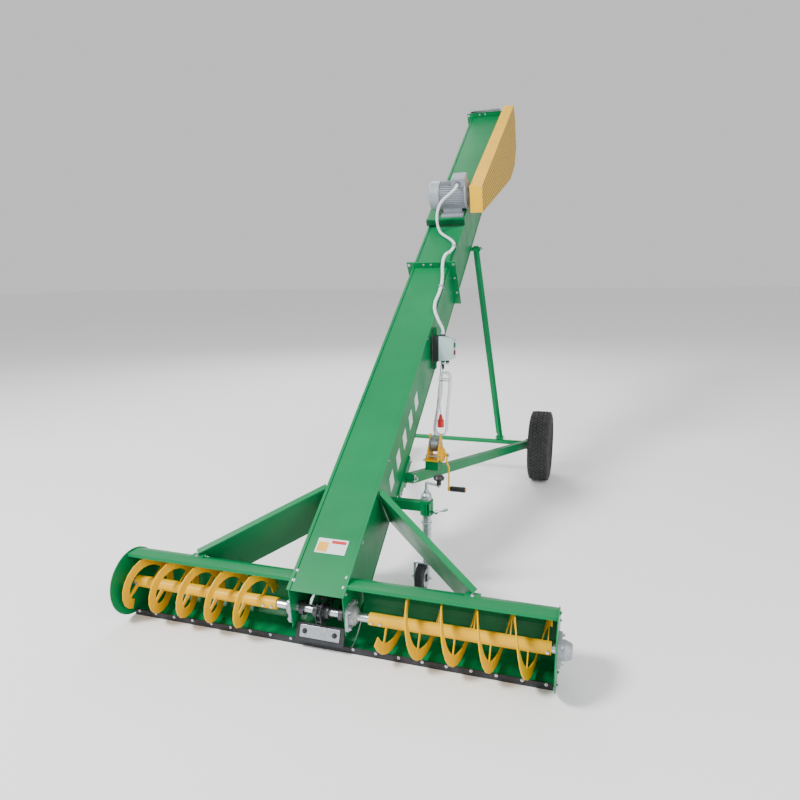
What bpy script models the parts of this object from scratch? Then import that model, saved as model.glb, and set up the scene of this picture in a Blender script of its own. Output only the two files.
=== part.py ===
"""Drag-chain grain loader with two side feed screws, on a wheeled undercarriage.

Row frame: X along the intake trough, Y from the intake to the head, Z up.
Most parts are written in one of two frames, each held by an empty:
  ground  (x, y, z) with y = 0 at the tail shaft and z = 0 on the ground
  casing  (x, s, h) with s along the sloping casing from its foot and h up from its cover
"""
import math

import bmesh
import bpy
from mathutils import Matrix, Vector

GAP = 0.0003                      # clearance between touching pieces
SHAFT_Y = -2.1153                 # tail shaft in the row frame
SHAFT_Z = 0.178                   # tail shaft above the ground
SHAFT_R = 0.020

TILT = math.radians(34.6)         # slope of the casing
FOOT_Y = -0.077                   # front edge of the cover, from the tail shaft
FOOT_Z = 0.305
HALF_W = 0.136                    # half width of the casing body
DEPTH = 0.305                     # depth of the casing body
SHEET = 0.004
S_JOINT = 2.563                   # bolted joint between the two casing sections
S_HEAD = 5.18                     # head flange
S_HEAD_SHAFT = 4.88
FLANGE_OUT = 0.045                # how far a joint flange stands out
FLANGE_T = 0.006
FLANGE_LOW = 0.018                # the floor's flange is short, to clear the winch rope
COVER_HALF_W = 0.142

TROUGH_R = 0.163                  # inner radius of the intake trough
TROUGH_IN = 0.1425                # inner end of each trough, from the middle
TROUGH_OUT = 1.066
END_PLATE_R = 0.172

SCREW_R = 0.141
SCREW_RIBBON = 0.049
SCREW_TUBE_R = 0.0285
SCREW_PITCH = 0.1575

CHAIN_IN_R = 0.043                # inner radius of the chain where it turns
CHAIN_OUT_R = 0.063
SPROCKET_R = 0.0422
FLIGHT_R = 0.139                  # tip radius of a flight at the chain's turn
FLIGHT_HALF_W = 0.122
FLIGHT_STEP = 0.35

WHEEL_X = 0.762
WHEEL_Y = 2.717
WHEEL_R = 0.2885
TYRE_W = 0.175
RIM_R = 0.165

PIVOT_S = 0.93                    # undercarriage pivot, in the casing frame
PIVOT_H = -0.34
STRUT_FOOT = (0.42, 2.712, 0.326)
STRUT_HEAD = (0.164, 2.884, 1.911)

MOTOR_S = 3.26
MOTOR_H = 0.188
MOTOR_R = 0.105
MOTOR_X = 0.022                   # middle of the motor, from the middle of the casing
PULLEY_X = 0.2475                 # middle of the belt run
HEAD_PULLEY_R = 0.200
MOTOR_PULLEY_R = 0.050

WINCH = (0.262, 1.117, 0.700)     # middle of the drum
CRANK_Z = 0.637
CRANK_X = 0.329
JACK = (0.338, 0.620)
JACK_WHEEL_X = 0.308
JACK_WHEEL_R = 0.080
START = (0.215, 1.500)            # x and y of the cable gland under the starter

GREEN = (0.010, 0.230, 0.105)
YELLOW = (0.800, 0.420, 0.010)
ZINC = (0.520, 0.560, 0.600)
STEEL = (0.180, 0.180, 0.190)
RUBBER = (0.025, 0.027, 0.032)
MOTOR_GREY = (0.330, 0.350, 0.380)
STARTER_GREY = (0.330, 0.480, 0.470)
WHITE = (0.700, 0.720, 0.740)
RED = (0.520, 0.010, 0.010)


# ---------------------------------------------------------------- frames
def make_empty(name, matrix):
    empty = bpy.data.objects.new(name, None)
    bpy.context.scene.collection.objects.link(empty)
    empty.matrix_world = matrix
    return empty


def casing_to_ground(s, h):
    """Ground-frame y and z of a point given along and above the casing."""
    y = FOOT_Y + s * math.cos(TILT) - h * math.sin(TILT)
    z = FOOT_Z + s * math.sin(TILT) + h * math.cos(TILT)
    return y, z


def ground_to_casing(y, z):
    """Casing-frame s and h of a point given in the ground frame."""
    dy = y - FOOT_Y
    dz = z - FOOT_Z
    return dy * math.cos(TILT) + dz * math.sin(TILT), dz * math.cos(TILT) - dy * math.sin(TILT)


def make_material(name, colour, roughness, metallic):
    material = bpy.data.materials.new(name)
    material.use_nodes = True
    shader = material.node_tree.nodes["Principled BSDF"]
    shader.inputs["Base Color"].default_value = (*colour, 1.0)
    shader.inputs["Roughness"].default_value = roughness
    shader.inputs["Metallic"].default_value = metallic
    material.diffuse_color = (*colour, 1.0)
    return material


# ---------------------------------------------------------------- shapes
def box(low, high):
    low = Vector(low)
    high = Vector(high)
    bm = bmesh.new()
    bmesh.ops.create_cube(bm, size=1.0)
    size = high - low
    middle = (high + low) / 2
    for vert in bm.verts:
        vert.co = middle + Vector(a * b for a, b in zip(vert.co, size))
    return bm


def extrude_face(points, step):
    """Closed solid swept from a flat outline by one straight step."""
    bm = bmesh.new()
    face = bm.faces.new([bm.verts.new(p) for p in points])
    swept = bmesh.ops.extrude_face_region(bm, geom=[face])["geom"]
    moved = [item for item in swept if isinstance(item, bmesh.types.BMVert)]
    bmesh.ops.translate(bm, verts=moved, vec=step)
    bmesh.ops.recalc_face_normals(bm, faces=bm.faces)
    return bm


def prism(outline, axes, low, high):
    """Outline in two named axes, extruded along the third from low to high."""
    rest = ({"x", "y", "z"} - set(axes)).pop()
    slot = {name: index for index, name in enumerate("xyz")}
    points = []
    for a, b in outline:
        point = [0.0, 0.0, 0.0]
        point[slot[axes[0]]] = a
        point[slot[axes[1]]] = b
        point[slot[rest]] = low
        points.append(point)
    step = [0.0, 0.0, 0.0]
    step[slot[rest]] = high - low
    return extrude_face(points, step)


def plate(corners, thickness):
    """Flat plate through its corner points, centred on them."""
    corners = [Vector(c) for c in corners]
    normal = (corners[1] - corners[0]).cross(corners[2] - corners[0]).normalized()
    half = normal * thickness / 2
    return extrude_face([c - half for c in corners], normal * thickness)


def rod(start, end, radius, segments=16, end_radius=None):
    start = Vector(start)
    end = Vector(end)
    span = end - start
    turn = span.to_track_quat("Z", "Y").to_matrix().to_4x4()
    bm = bmesh.new()
    bmesh.ops.create_cone(
        bm, cap_ends=True, segments=segments, radius1=radius,
        radius2=radius if end_radius is None else end_radius, depth=span.length,
        matrix=Matrix.Translation((start + end) / 2) @ turn)
    return bm


def beam(start, end, width, height):
    """Square-cut bar between two points: width across, height in the upright plane."""
    start = Vector(start)
    end = Vector(end)
    along = (end - start).normalized()
    side = along.cross(Vector((0, 0, 1))).normalized() * width / 2
    rise = side.cross(along).normalized() * height / 2
    return extrude_face([start + side + rise, start - side + rise,
                         start - side - rise, start + side - rise], end - start)


def turned(profile, centre, segments=24, axis="x"):
    """Closed (axial, radius) profile turned about an axis through the centre."""
    bm = bmesh.new()
    rings = []
    for step in range(segments):
        angle = 2 * math.pi * step / segments
        ring = []
        for axial, radius in profile:
            a = radius * math.cos(angle)
            b = radius * math.sin(angle)
            local = (axial, a, b) if axis == "x" else (a, b, axial)
            ring.append(bm.verts.new(Vector(centre) + Vector(local)))
        rings.append(ring)
    count = len(profile)
    for step in range(segments):
        here = rings[step]
        there = rings[(step + 1) % segments]
        for index in range(count):
            after = (index + 1) % count
            bm.faces.new([here[index], here[after], there[after], there[index]])
    bmesh.ops.recalc_face_normals(bm, faces=bm.faces)
    return bm


def collar(centre, low, high, outer, inner, segments=24, axis="x"):
    profile = [(low, inner), (high, inner), (high, outer), (low, outer)]
    return turned(profile, centre, segments, axis)


def strip(path, thickness):
    """Closed outline of a bent sheet: the path and its offset to the left."""
    points = [Vector(p) for p in path]
    offset = []
    for index, point in enumerate(points):
        before = points[max(index - 1, 0)]
        after = points[min(index + 1, len(points) - 1)]
        first = (point - before).normalized() if index else (after - point).normalized()
        last = (after - point).normalized() if index < len(points) - 1 else first
        bend = (first + last).normalized()
        left = Vector((-bend.y, bend.x))
        offset.append(point + left * thickness / max(bend.dot(first), 0.3))
    return [tuple(p) for p in points] + [tuple(p) for p in reversed(offset)]


def rounded(half_a, half_b, radius, steps=3):
    """Rectangle outline with rounded corners."""
    outline = []
    for corner, (sign_a, sign_b) in enumerate([(1, 1), (-1, 1), (-1, -1), (1, -1)]):
        for step in range(steps + 1):
            angle = math.pi / 2 * (corner + step / steps)
            outline.append((sign_a * (half_a - radius) + radius * math.cos(angle),
                            sign_b * (half_b - radius) + radius * math.sin(angle)))
    return outline


def moved(outline, da, db):
    return [(a + da, b + db) for a, b in outline]


def mesh_object(name, bm):
    mesh = bpy.data.meshes.new(name)
    bm.to_mesh(mesh)
    bm.free()
    obj = bpy.data.objects.new(name, mesh)
    bpy.context.scene.collection.objects.link(obj)
    return obj


def combine(add, cut):
    """One mesh from solids joined with, and cut by, exact Booleans."""
    base = mesh_object("base", add[0])
    tools = []
    for operation, solids in (("UNION", add[1:]), ("DIFFERENCE", cut)):
        for solid in solids:
            tool = mesh_object("tool", solid)
            modifier = base.modifiers.new("join", "BOOLEAN")
            modifier.operation = operation
            modifier.object = tool
            tools.append(tool)
    graph = bpy.context.evaluated_depsgraph_get()
    mesh = bpy.data.meshes.new_from_object(base.evaluated_get(graph))
    for obj in [base] + tools:
        bpy.data.objects.remove(obj, do_unlink=True)
    return mesh


def part(name, add, material, frame, pivot=(0, 0, 0), cut=(), smooth=False):
    """One sub-part, with its origin at the pivot in its frame."""
    mesh = combine(list(add), list(cut))
    mesh.transform(Matrix.Translation(-Vector(pivot)))
    mesh.materials.clear()
    mesh.materials.append(material)
    if smooth:
        mesh.shade_smooth()
        mesh.set_sharp_from_angle(angle=math.radians(35))
    obj = bpy.data.objects.new(name, mesh)
    bpy.context.scene.collection.objects.link(obj)
    obj.parent = frame
    obj.location = pivot
    return obj


def smooth_path(points, count):
    """Evenly spaced points on a Catmull-Rom curve through the route's points."""
    points = [Vector(p) for p in points]
    padded = [2 * points[0] - points[1]] + points + [2 * points[-1] - points[-2]]
    dense = []
    for i in range(1, len(padded) - 2):
        p0, p1, p2, p3 = padded[i - 1:i + 3]
        for step in range(20):
            t = step / 20
            dense.append(0.5 * (2 * p1 + (p2 - p0) * t + (2 * p0 - 5 * p1 + 4 * p2 - p3) * t * t
                                + (3 * p1 - p0 - 3 * p2 + p3) * t ** 3))
    dense.append(points[-1])
    reach = [0.0]
    for a, b in zip(dense, dense[1:]):
        reach.append(reach[-1] + (b - a).length)
    path = []
    index = 0
    for step in range(count):
        target = reach[-1] * step / (count - 1)
        while index < len(reach) - 2 and reach[index + 1] < target:
            index += 1
        share = (target - reach[index]) / (reach[index + 1] - reach[index])
        path.append(dense[index].lerp(dense[index + 1], min(max(share, 0.0), 1.0)))
    return path


def tube(name, points, radius, material, frame, resolution=2):
    """Cord as a bevelled poly curve with closed ends."""
    curve = bpy.data.curves.new(name, "CURVE")
    curve.dimensions = "3D"
    curve.bevel_depth = radius
    curve.bevel_resolution = resolution
    curve.use_fill_caps = True
    spline = curve.splines.new("POLY")
    spline.points.add(len(points) - 1)
    for target, point in zip(spline.points, points):
        target.co = (*point, 1.0)
    curve.materials.append(material)
    obj = bpy.data.objects.new(name, curve)
    bpy.context.scene.collection.objects.link(obj)
    obj.parent = frame
    return obj


# ---------------------------------------------------------------- casing
def flange_ring(s_low, s_high, top):
    """U-shaped angle frame round the two sides and the floor."""
    out = HALF_W + FLANGE_OUT
    inn = HALF_W - SHEET / 2
    low = -DEPTH - FLANGE_LOW
    floor = -DEPTH + SHEET / 2
    outline = [(-out, top), (-out, low), (out, low), (out, top),
               (inn, top), (inn, floor), (-inn, floor), (-inn, top)]
    return prism(outline, "xz", s_low, s_high)


def side_plates(outline):
    plates = []
    for side in (-1, 1):
        plates.append(prism(outline, "yz", side * (HALF_W - SHEET), side * HALF_W))
    return plates


def pivot_straps():
    solids = []
    for side in (-1, 1):
        x_low = side * (HALF_W - 0.0005)
        x_high = side * 0.1445
        solids.append(box_between((x_low, 0.78, -0.352), (x_high, 1.06, -0.296)))
        solids.append(box_between((x_low, 0.885, -0.378), (x_high, 0.975, -0.300)))
        solids.append(rod((side * 0.140, PIVOT_S, PIVOT_H),
                          (side * 0.196, PIVOT_S, PIVOT_H), 0.012, 16))
    return solids


def box_between(a, b):
    low = [min(p, q) for p, q in zip(a, b)]
    high = [max(p, q) for p, q in zip(a, b)]
    return box(low, high)


def lower_casing():
    end = S_JOINT - GAP / 2
    top = -SHEET - GAP
    floor = -DEPTH + SHEET / 2
    foot_tip = ground_to_casing(-0.050, 0.100)
    outline = [(0.0, top), (end, top), (end, floor), (0.22, floor),
               (0.10, -0.262), (-0.03, -0.222), foot_tip]
    lip = ground_to_casing(-0.0205, 0.016)
    heel = ground_to_casing(0.041, 0.016)
    floor_path = [lip, heel, (end, -DEPTH)]
    solids = side_plates(outline)
    solids.append(prism(strip(floor_path, SHEET), "yz", -HALF_W - 0.002, HALF_W + 0.002))
    solids.append(flange_ring(end - FLANGE_T, end, top))
    solids += pivot_straps()
    shaft_s, shaft_h = ground_to_casing(0.0, SHAFT_Z)
    hole = rod((-0.2, shaft_s, shaft_h), (0.2, shaft_s, shaft_h), 0.0225, 16)
    return part("lower_casing", solids, PAINT, CASING, cut=[hole])


def cover(name, s_low, s_high, flanges):
    """Cover sheet with a folded lip along each edge and a flange bar at each joint."""
    solids = [box((-COVER_HALF_W, s_low, -SHEET), (COVER_HALF_W, s_high, 0.0))]
    for side in (-1, 1):
        solids.append(box_between((side * (COVER_HALF_W - 0.016), s_low, -SHEET / 2),
                                  (side * COVER_HALF_W, s_high, 0.005)))
    for low, high in flanges:
        solids.append(box((-HALF_W - FLANGE_OUT, low, -SHEET / 2),
                          (HALF_W + FLANGE_OUT, high, FLANGE_OUT)))
    return part(name, solids, PAINT, CASING)


def upper_casing():
    start = S_JOINT + GAP / 2
    end = S_HEAD - GAP / 2
    top = -SHEET - GAP
    floor = -DEPTH + SHEET / 2
    solids = side_plates([(start, top), (end, top), (end, floor), (start, floor)])
    solids.append(box((-HALF_W - 0.002, start, -DEPTH), (HALF_W + 0.002, end, -DEPTH + SHEET)))
    solids.append(flange_ring(start, start + FLANGE_T, top))
    solids.append(flange_ring(end - FLANGE_T, end, top))
    shaft_h = ground_to_casing(0.0, SHAFT_Z)[1]
    hole = rod((-0.2, S_HEAD_SHAFT, shaft_h), (0.2, S_HEAD_SHAFT, shaft_h), 0.0225, 16)
    discharge = box((-0.118, 4.72, -0.35), (0.118, 5.13, -0.25))
    return part("upper_casing", solids, PAINT, CASING, cut=[hole, discharge])


def head_cap():
    """Shallow galvanised pan bolted on the head flange, open to the casing."""
    start = S_HEAD + GAP / 2
    shell = prism([(start, 0.066), (start + 0.030, 0.066), (start + 0.055, 0.020),
                   (start + 0.055, -0.300), (start, -0.320)], "yz", -0.150, 0.150)
    hollow = prism([(start - 0.01, 0.062), (start + 0.028, 0.062), (start + 0.051, 0.019),
                    (start + 0.051, -0.296), (start - 0.01, -0.316)], "yz", -0.146, 0.146)
    return part("head_cap", [shell], GALVANISED, CASING, cut=[hollow])


# ---------------------------------------------------------------- drag chain
def turn_points(s, h, radius, first, last, steps):
    return [(s + radius * math.cos(first + (last - first) * i / steps),
             h + radius * math.sin(first + (last - first) * i / steps))
            for i in range(steps + 1)]


def drag_chain():
    tail_s, axis_h = ground_to_casing(0.0, SHAFT_Z)
    half = math.pi / 2
    loops = []
    for radius in (CHAIN_OUT_R, CHAIN_IN_R):
        loops.append(turn_points(tail_s, axis_h, radius, half, 3 * half, 12)
                     + turn_points(S_HEAD_SHAFT, axis_h, radius, -half, half, 12))
    belt = prism(loops[0], "yz", -0.015, 0.015)
    core = prism(loops[1], "yz", -0.016, 0.016)
    flights = bmesh.new()
    count = int((S_HEAD_SHAFT - 0.35 - tail_s) / FLIGHT_STEP)
    for index in range(count):
        s = 0.24 + index * FLIGHT_STEP
        for sign in (-1, 1):
            piece = box_between((-FLIGHT_HALF_W, s, axis_h + sign * (CHAIN_OUT_R - 0.004)),
                                (FLIGHT_HALF_W, s + 0.012, axis_h + sign * FLIGHT_R))
            mesh = bpy.data.meshes.new("flight")
            piece.to_mesh(mesh)
            piece.free()
            flights.from_mesh(mesh)
            bpy.data.meshes.remove(mesh)
    return part("drag_chain", [belt, flights], DARK_STEEL, CASING, cut=[core])


def intake_flight():
    """Rubber flight at the tail with its steel clamp plate."""
    angle = math.radians(-110.8)
    along = Vector((math.cos(angle), math.sin(angle)))
    face = Vector((-along.y, along.x))
    axis = Vector((0.0, SHAFT_Z))

    def slab(r_low, r_high, near, far):
        return [tuple(axis + along * r_low + face * near), tuple(axis + along * r_high + face * near),
                tuple(axis + along * r_high + face * far), tuple(axis + along * r_low + face * far)]

    rubber = prism(slab(CHAIN_OUT_R + GAP, 0.150, -0.006, 0.006), "yz",
                   -FLIGHT_HALF_W, FLIGHT_HALF_W)
    clamp = prism(slab(0.072, 0.128, -0.010, -0.005), "yz", -0.100, 0.100)
    return part("intake_flight", [rubber, clamp], BLACK_RUBBER, GROUND)


# ---------------------------------------------------------------- intake
def tail_axis():
    return (0.0, 0.0, SHAFT_Z)


def tail_shaft():
    solid = rod((-1.105, 0, SHAFT_Z), (1.105, 0, SHAFT_Z), SHAFT_R, 20)
    return part("tail_shaft", [solid], DARK_STEEL, GROUND, tail_axis(), smooth=True)


def tail_sprocket():
    outer = SPROCKET_R
    bore = SHAFT_R + GAP
    profile = [(-0.040, bore), (0.040, bore), (0.040, 0.034), (0.009, 0.034),
               (0.009, outer), (-0.009, outer), (-0.009, 0.034), (-0.040, 0.034)]
    solid = turned(profile, tail_axis(), 24)
    return part("tail_sprocket", [solid], DARK_STEEL, GROUND, tail_axis(), smooth=True)


def flanged_bearing(name, frame, centre, side, capped):
    """Cast four-bolt flange housing on the shaft, its bolt face towards the machine."""
    x, s, h = centre
    bore = SHAFT_R + GAP
    face = prism(moved(rounded(0.058, 0.058, 0.016), s, h), "yz", x, x + side * 0.013)
    reach = 0.058 if capped else 0.042
    inner = 0.010
    profile = [(side * 0.001, inner), (side * reach, inner), (side * reach, 0.028),
               (side * (reach - 0.006), 0.034), (side * 0.030, 0.043), (side * 0.001, 0.045)]
    housing = turned(profile, centre, 24)
    plug = [rod((x + side * 0.050, s, h), (x + side * 0.056, s, h), 0.020, 24)] if capped else []
    depth = 0.046 if capped else 0.080
    hole = rod((x - side * 0.01, s, h), (x + side * depth, s, h), bore, 24)
    return part(name, [face, housing, *plug], GALVANISED, frame, cut=[hole], smooth=True)


def ribbon(side, first_turn, last_turn, x_at_top):
    """Helical strip of the screw; turn 0 is a crest, and it passes the front going down."""
    steps = int((last_turn - first_turn) * 20)
    inner = SCREW_R - SCREW_RIBBON
    half_t = 0.0025
    bm = bmesh.new()
    rows = []
    for step in range(steps + 1):
        turn = first_turn + (last_turn - first_turn) * step / steps
        angle = 2 * math.pi * turn
        x = side * (x_at_top + SCREW_PITCH * turn)
        row = []
        for radius, shift in ((inner, -half_t), (SCREW_R, -half_t), (SCREW_R, half_t), (inner, half_t)):
            row.append(bm.verts.new((x + shift, -radius * math.sin(angle),
                                     SHAFT_Z + radius * math.cos(angle))))
        rows.append(row)
    for here, there in zip(rows, rows[1:]):
        for index in range(4):
            after = (index + 1) % 4
            bm.faces.new([here[index], here[after], there[after], there[index]])
    bm.faces.new(rows[0])
    bm.faces.new(rows[-1])
    bmesh.ops.recalc_face_normals(bm, faces=bm.faces)
    return bm


def screw_spokes(side, first_turn, last_turn, x_at_top):
    """Flat plates every half turn, wide at the tube and narrow at the ribbon."""
    spokes = []
    turn = first_turn + 0.1
    while turn < last_turn:
        angle = 2 * math.pi * turn
        x = side * (x_at_top + SCREW_PITCH * turn)
        out = Vector((0, -math.sin(angle), math.cos(angle)))
        across = Vector((0, out.z, -out.y))
        root = Vector((x, 0, SHAFT_Z)) + out * 0.024
        tip = Vector((x, 0, SHAFT_Z)) + out * (SCREW_R - SCREW_RIBBON + 0.012)
        spokes.append(plate([root - across * 0.012, tip - across * 0.007,
                             tip + across * 0.007, root + across * 0.012], 0.0045))
        turn += 0.5
    return spokes


def screw(name, side, first_turn, last_turn, x_at_top):
    bore = SHAFT_R + GAP
    profile = [(side * 0.235, bore), (side * 1.045, bore),
               (side * 1.045, SCREW_TUBE_R), (side * 0.235, SCREW_TUBE_R)]
    tube_solid = turned(profile, tail_axis(), 20)
    solids = [tube_solid, ribbon(side, first_turn, last_turn, x_at_top)]
    solids += screw_spokes(side, first_turn, last_turn, x_at_top)
    return part(name, solids, YELLOW_PAINT, GROUND, tail_axis(), smooth=True)


def trough(name, side):
    """Rolled trough shell, open to the front, with its round end plate."""
    path = []
    for step in range(17):
        angle = math.radians(-97 + (80 + 97) * step / 16)
        path.append((TROUGH_R * math.cos(angle), SHAFT_Z + TROUGH_R * math.sin(angle)))
    path += [(-0.031, path[-1][1]), (-0.034, path[-1][1] - 0.012)]
    outline = strip(path, -SHEET)
    shell = prism(outline, "yz", side * TROUGH_IN, side * (TROUGH_OUT + 0.002))
    centre = (side * TROUGH_OUT, 0.0, SHAFT_Z)
    disc = rod(centre, (side * (TROUGH_OUT + 0.005), 0.0, SHAFT_Z), END_PLATE_R, 48)
    hole = rod((side * 1.0, 0.0, SHAFT_Z), (side * 1.2, 0.0, SHAFT_Z), 0.0225, 16)
    return part(name, [shell, disc], PAINT, GROUND, cut=[hole])


def rubber_skirt():
    solid = box((-1.058, -0.0283, 0.0), (1.058, -0.0223, 0.030))
    return part("rubber_skirt", [solid], BLACK_RUBBER, GROUND)


def brace(name, side):
    """Bent stay plate from the casing side down to the back of the trough."""
    x_casing = 0.1405
    top_y, top_z = casing_to_ground(0.585, -0.010)
    low_y, low_z = casing_to_ground(0.600, -0.295)
    top = Vector((side * x_casing, top_y, top_z))
    low = Vector((side * x_casing, low_y, low_z))
    far_top = Vector((side * 0.700, 0.045, 0.352))
    far_low = far_top + low - top
    normal = (far_top - top).cross(low - top).normalized() * side
    web = plate([top, far_top, far_low, low], SHEET)
    out = normal * 0.028
    lift = (top - low).normalized() * 0.0
    flange = plate([top + lift, far_top + lift, far_top + out, top + out], SHEET)
    shell = rod((side * 0.13, 0, SHAFT_Z), (side * 0.9, 0, SHAFT_Z), 0.1688, 64)
    return part(name, [web, flange], PAINT, GROUND, cut=[shell])


# ---------------------------------------------------------------- drive
def motor_plate():
    top = MOTOR_H - 0.125
    path = [(-0.150, 0.0053), (-0.150, top), (0.150, top), (0.150, 0.0053)]
    channel = prism(strip(path, -0.005), "xz", 3.115, 3.420)
    lip = box((-0.152, 3.115, top - 0.020), (0.152, 3.122, top - 0.001))
    return part("motor_plate", [channel, lip], PAINT, CASING)


def motor_body():
    """Finned housing, end shields, fan cowl and feet."""
    low = MOTOR_H - 0.125 + GAP
    runs = ((-0.146, -0.134, 0.092, MOTOR_R), (-0.134, -0.062, MOTOR_R, MOTOR_R),
            (-0.062, 0.138, 0.096, 0.096), (0.138, 0.150, 0.092, 0.092),
            (0.150, 0.168, 0.060, 0.040))
    profile = [(-0.146, 0.008)]
    for start, end, first, last in runs:
        profile += [(start, first), (end, last)]
    profile.append((0.168, 0.008))
    profile = [point for point, after in zip(profile, profile[1:] + [None]) if point != after]
    solids = [turned(profile, (MOTOR_X, MOTOR_S, MOTOR_H), 28),
              rod((MOTOR_X - 0.140, MOTOR_S, MOTOR_H), (MOTOR_X + 0.165, MOTOR_S, MOTOR_H), 0.020, 16)]
    for side in (-1, 1):
        solids.append(box_between((MOTOR_X - 0.060, MOTOR_S + side * 0.052, low),
                                  (MOTOR_X + 0.115, MOTOR_S + side * 0.118, low + 0.012)))
        solids.append(box_between((MOTOR_X - 0.045, MOTOR_S + side * 0.052, low + 0.006),
                                  (MOTOR_X + 0.100, MOTOR_S + side * 0.072, low + 0.075)))
    bore = rod((0.11, MOTOR_S, MOTOR_H), (0.20, MOTOR_S, MOTOR_H), 0.0147, 16)
    return part("motor_body", solids, MOTOR_PAINT, CASING, cut=[bore], smooth=True)


def terminal_box():
    low = MOTOR_H + 0.085
    solid = box((0.064, MOTOR_S - 0.055, low), (0.166, MOTOR_S + 0.045, low + 0.070))
    gland = rod((0.110, MOTOR_S - 0.045, low + 0.032), (0.110, MOTOR_S - 0.078, low + 0.032), 0.016, 12)
    cylinder = rod((-0.10, MOTOR_S, MOTOR_H), (0.22, MOTOR_S, MOTOR_H), 0.096 + GAP, 28)
    return part("terminal_box", [solid, gland], MOTOR_PAINT, CASING, cut=[cylinder])


def pulley_profile(radius, half_w, bore):
    return [(-half_w, bore), (half_w, bore), (half_w, radius), (half_w - 0.006, radius),
            (half_w - 0.010, radius - 0.011), (-half_w + 0.010, radius - 0.011),
            (-half_w + 0.006, radius), (-half_w, radius)]


def motor_pulley():
    """Small V-pulley with the rotor shaft that carries it."""
    axis = (PULLEY_X, MOTOR_S, MOTOR_H)
    wheel = turned(pulley_profile(MOTOR_PULLEY_R, 0.022, 0.010), axis, 28)
    shaft = rod((0.120, MOTOR_S, MOTOR_H), (PULLEY_X + 0.026, MOTOR_S, MOTOR_H), 0.014, 16)
    return part("motor_pulley", [shaft, wheel], DARK_STEEL, CASING, axis, smooth=True)


def head_axis():
    return (0.0, S_HEAD_SHAFT, ground_to_casing(0.0, SHAFT_Z)[1])


def head_shaft():
    _, s, h = head_axis()
    shaft = rod((-0.175, s, h), (0.277, s, h), SHAFT_R, 20)
    sprocket = collar(head_axis(), -0.009, 0.009, SPROCKET_R, 0.012, 24)
    return part("head_shaft", [shaft, sprocket], DARK_STEEL, CASING, head_axis(), smooth=True)


def head_pulley():
    """Large V-pulley: rim, thin web and hub in one turned profile."""
    _, s, h = head_axis()
    axis = (PULLEY_X, s, h)
    bore = SHAFT_R + GAP
    web = HEAD_PULLEY_R - 0.030
    groove = HEAD_PULLEY_R - 0.011
    profile = [(-0.020, bore), (0.020, bore), (0.020, 0.045), (0.005, 0.045), (0.005, web),
               (0.022, web), (0.022, HEAD_PULLEY_R), (0.016, HEAD_PULLEY_R), (0.012, groove),
               (-0.012, groove), (-0.016, HEAD_PULLEY_R), (-0.022, HEAD_PULLEY_R),
               (-0.022, web), (-0.005, web), (-0.005, 0.045), (-0.020, 0.045)]
    return part("head_pulley", [turned(profile, axis, 40)], DARK_STEEL, CASING, axis, smooth=True)


def drive_belt():
    """Open belt round the two pulleys, seated in their grooves."""
    _, s, h = head_axis()
    span = math.hypot(s - MOTOR_S, h - MOTOR_H)
    slope = math.atan2(h - MOTOR_H, s - MOTOR_S)
    lean = math.asin((HEAD_PULLEY_R - MOTOR_PULLEY_R) / span)
    loops = []
    for extra in (0.001, -0.0098):
        small = MOTOR_PULLEY_R + extra
        large = HEAD_PULLEY_R + extra
        near = turn_points(MOTOR_S, MOTOR_H, small, slope + math.pi / 2 + lean,
                           slope + 3 * math.pi / 2 - lean, 10)
        far = turn_points(s, h, large, slope - math.pi / 2 - lean,
                          slope + math.pi / 2 + lean, 24)
        loops.append(near + far)
    band = prism(loops[0], "yz", PULLEY_X - 0.0118, PULLEY_X + 0.0118)
    core = prism(loops[1], "yz", PULLEY_X - 0.02, PULLEY_X + 0.02)
    return part("drive_belt", [band], BLACK_RUBBER, CASING, cut=[core])


GUARD_CORNERS = ((3.140, 0.096), (3.198, 0.281), (5.112, 0.112), (5.160, -0.050),
                 (5.136, -0.310), (4.958, -0.422), (4.640, -0.404))
GUARD_IN = 0.200
GUARD_OUT = 0.295


def guard_outline(inset=0.0):
    """Side outline of the belt guard, moved inwards by the inset all round."""
    corners = [Vector(c) for c in GUARD_CORNERS]
    outline = []
    for index, corner in enumerate(corners):
        before = (corner - corners[index - 1]).normalized()
        after = (corners[(index + 1) % len(corners)] - corner).normalized()
        bend = (before + after).normalized()
        inward = Vector((bend.y, -bend.x))
        outline.append(tuple(corner + inward * inset / bend.dot(before)))
    return outline


def guard_frame():
    """Folded guard: back plate and rim, open on the outer side for the mesh."""
    rim = prism(guard_outline(), "yz", GUARD_IN, GUARD_OUT)
    hollow = prism(guard_outline(SHEET), "yz", GUARD_IN + SHEET, GUARD_OUT + 0.01)
    _, s, h = head_axis()
    hub_hole = rod((0.15, s, h), (0.215, s, h), 0.026, 20)
    motor_hole = rod((0.15, MOTOR_S, MOTOR_H), (0.215, MOTOR_S, MOTOR_H), 0.030, 20)
    return part("guard_frame", [rim], YELLOW_PAINT, CASING, cut=[hollow, hub_hole, motor_hole])


def guard_mesh():
    solid = prism(guard_outline(SHEET + 0.0006), "yz", GUARD_OUT - 0.006, GUARD_OUT - 0.002)
    return part("guard_mesh", [solid], YELLOW_PAINT, CASING)


# ---------------------------------------------------------------- electrics
def starter_bracket():
    solid = prism([(0.1425, -0.020), (0.1425, 0.020), (0.160, 0.020), (0.160, 0.016),
                   (0.1465, 0.016), (0.1465, -0.016), (0.160, -0.016), (0.160, -0.020)],
                  "xy", 1.096, 1.372)
    bmesh.ops.translate(solid, verts=solid.verts, vec=(0, START[1] + 0.03, 0))
    return part("starter_bracket", [solid], PAINT, GROUND)


def starter_base():
    y = START[1]
    solid = box((0.1603, y - 0.045, 1.158), (0.195, y + 0.045, 1.320))
    return part("starter_base", [solid], BLACK_PLASTIC, GROUND)


BUTTON_X = 0.298
BUTTON_Z = (1.262, 1.214)


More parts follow.
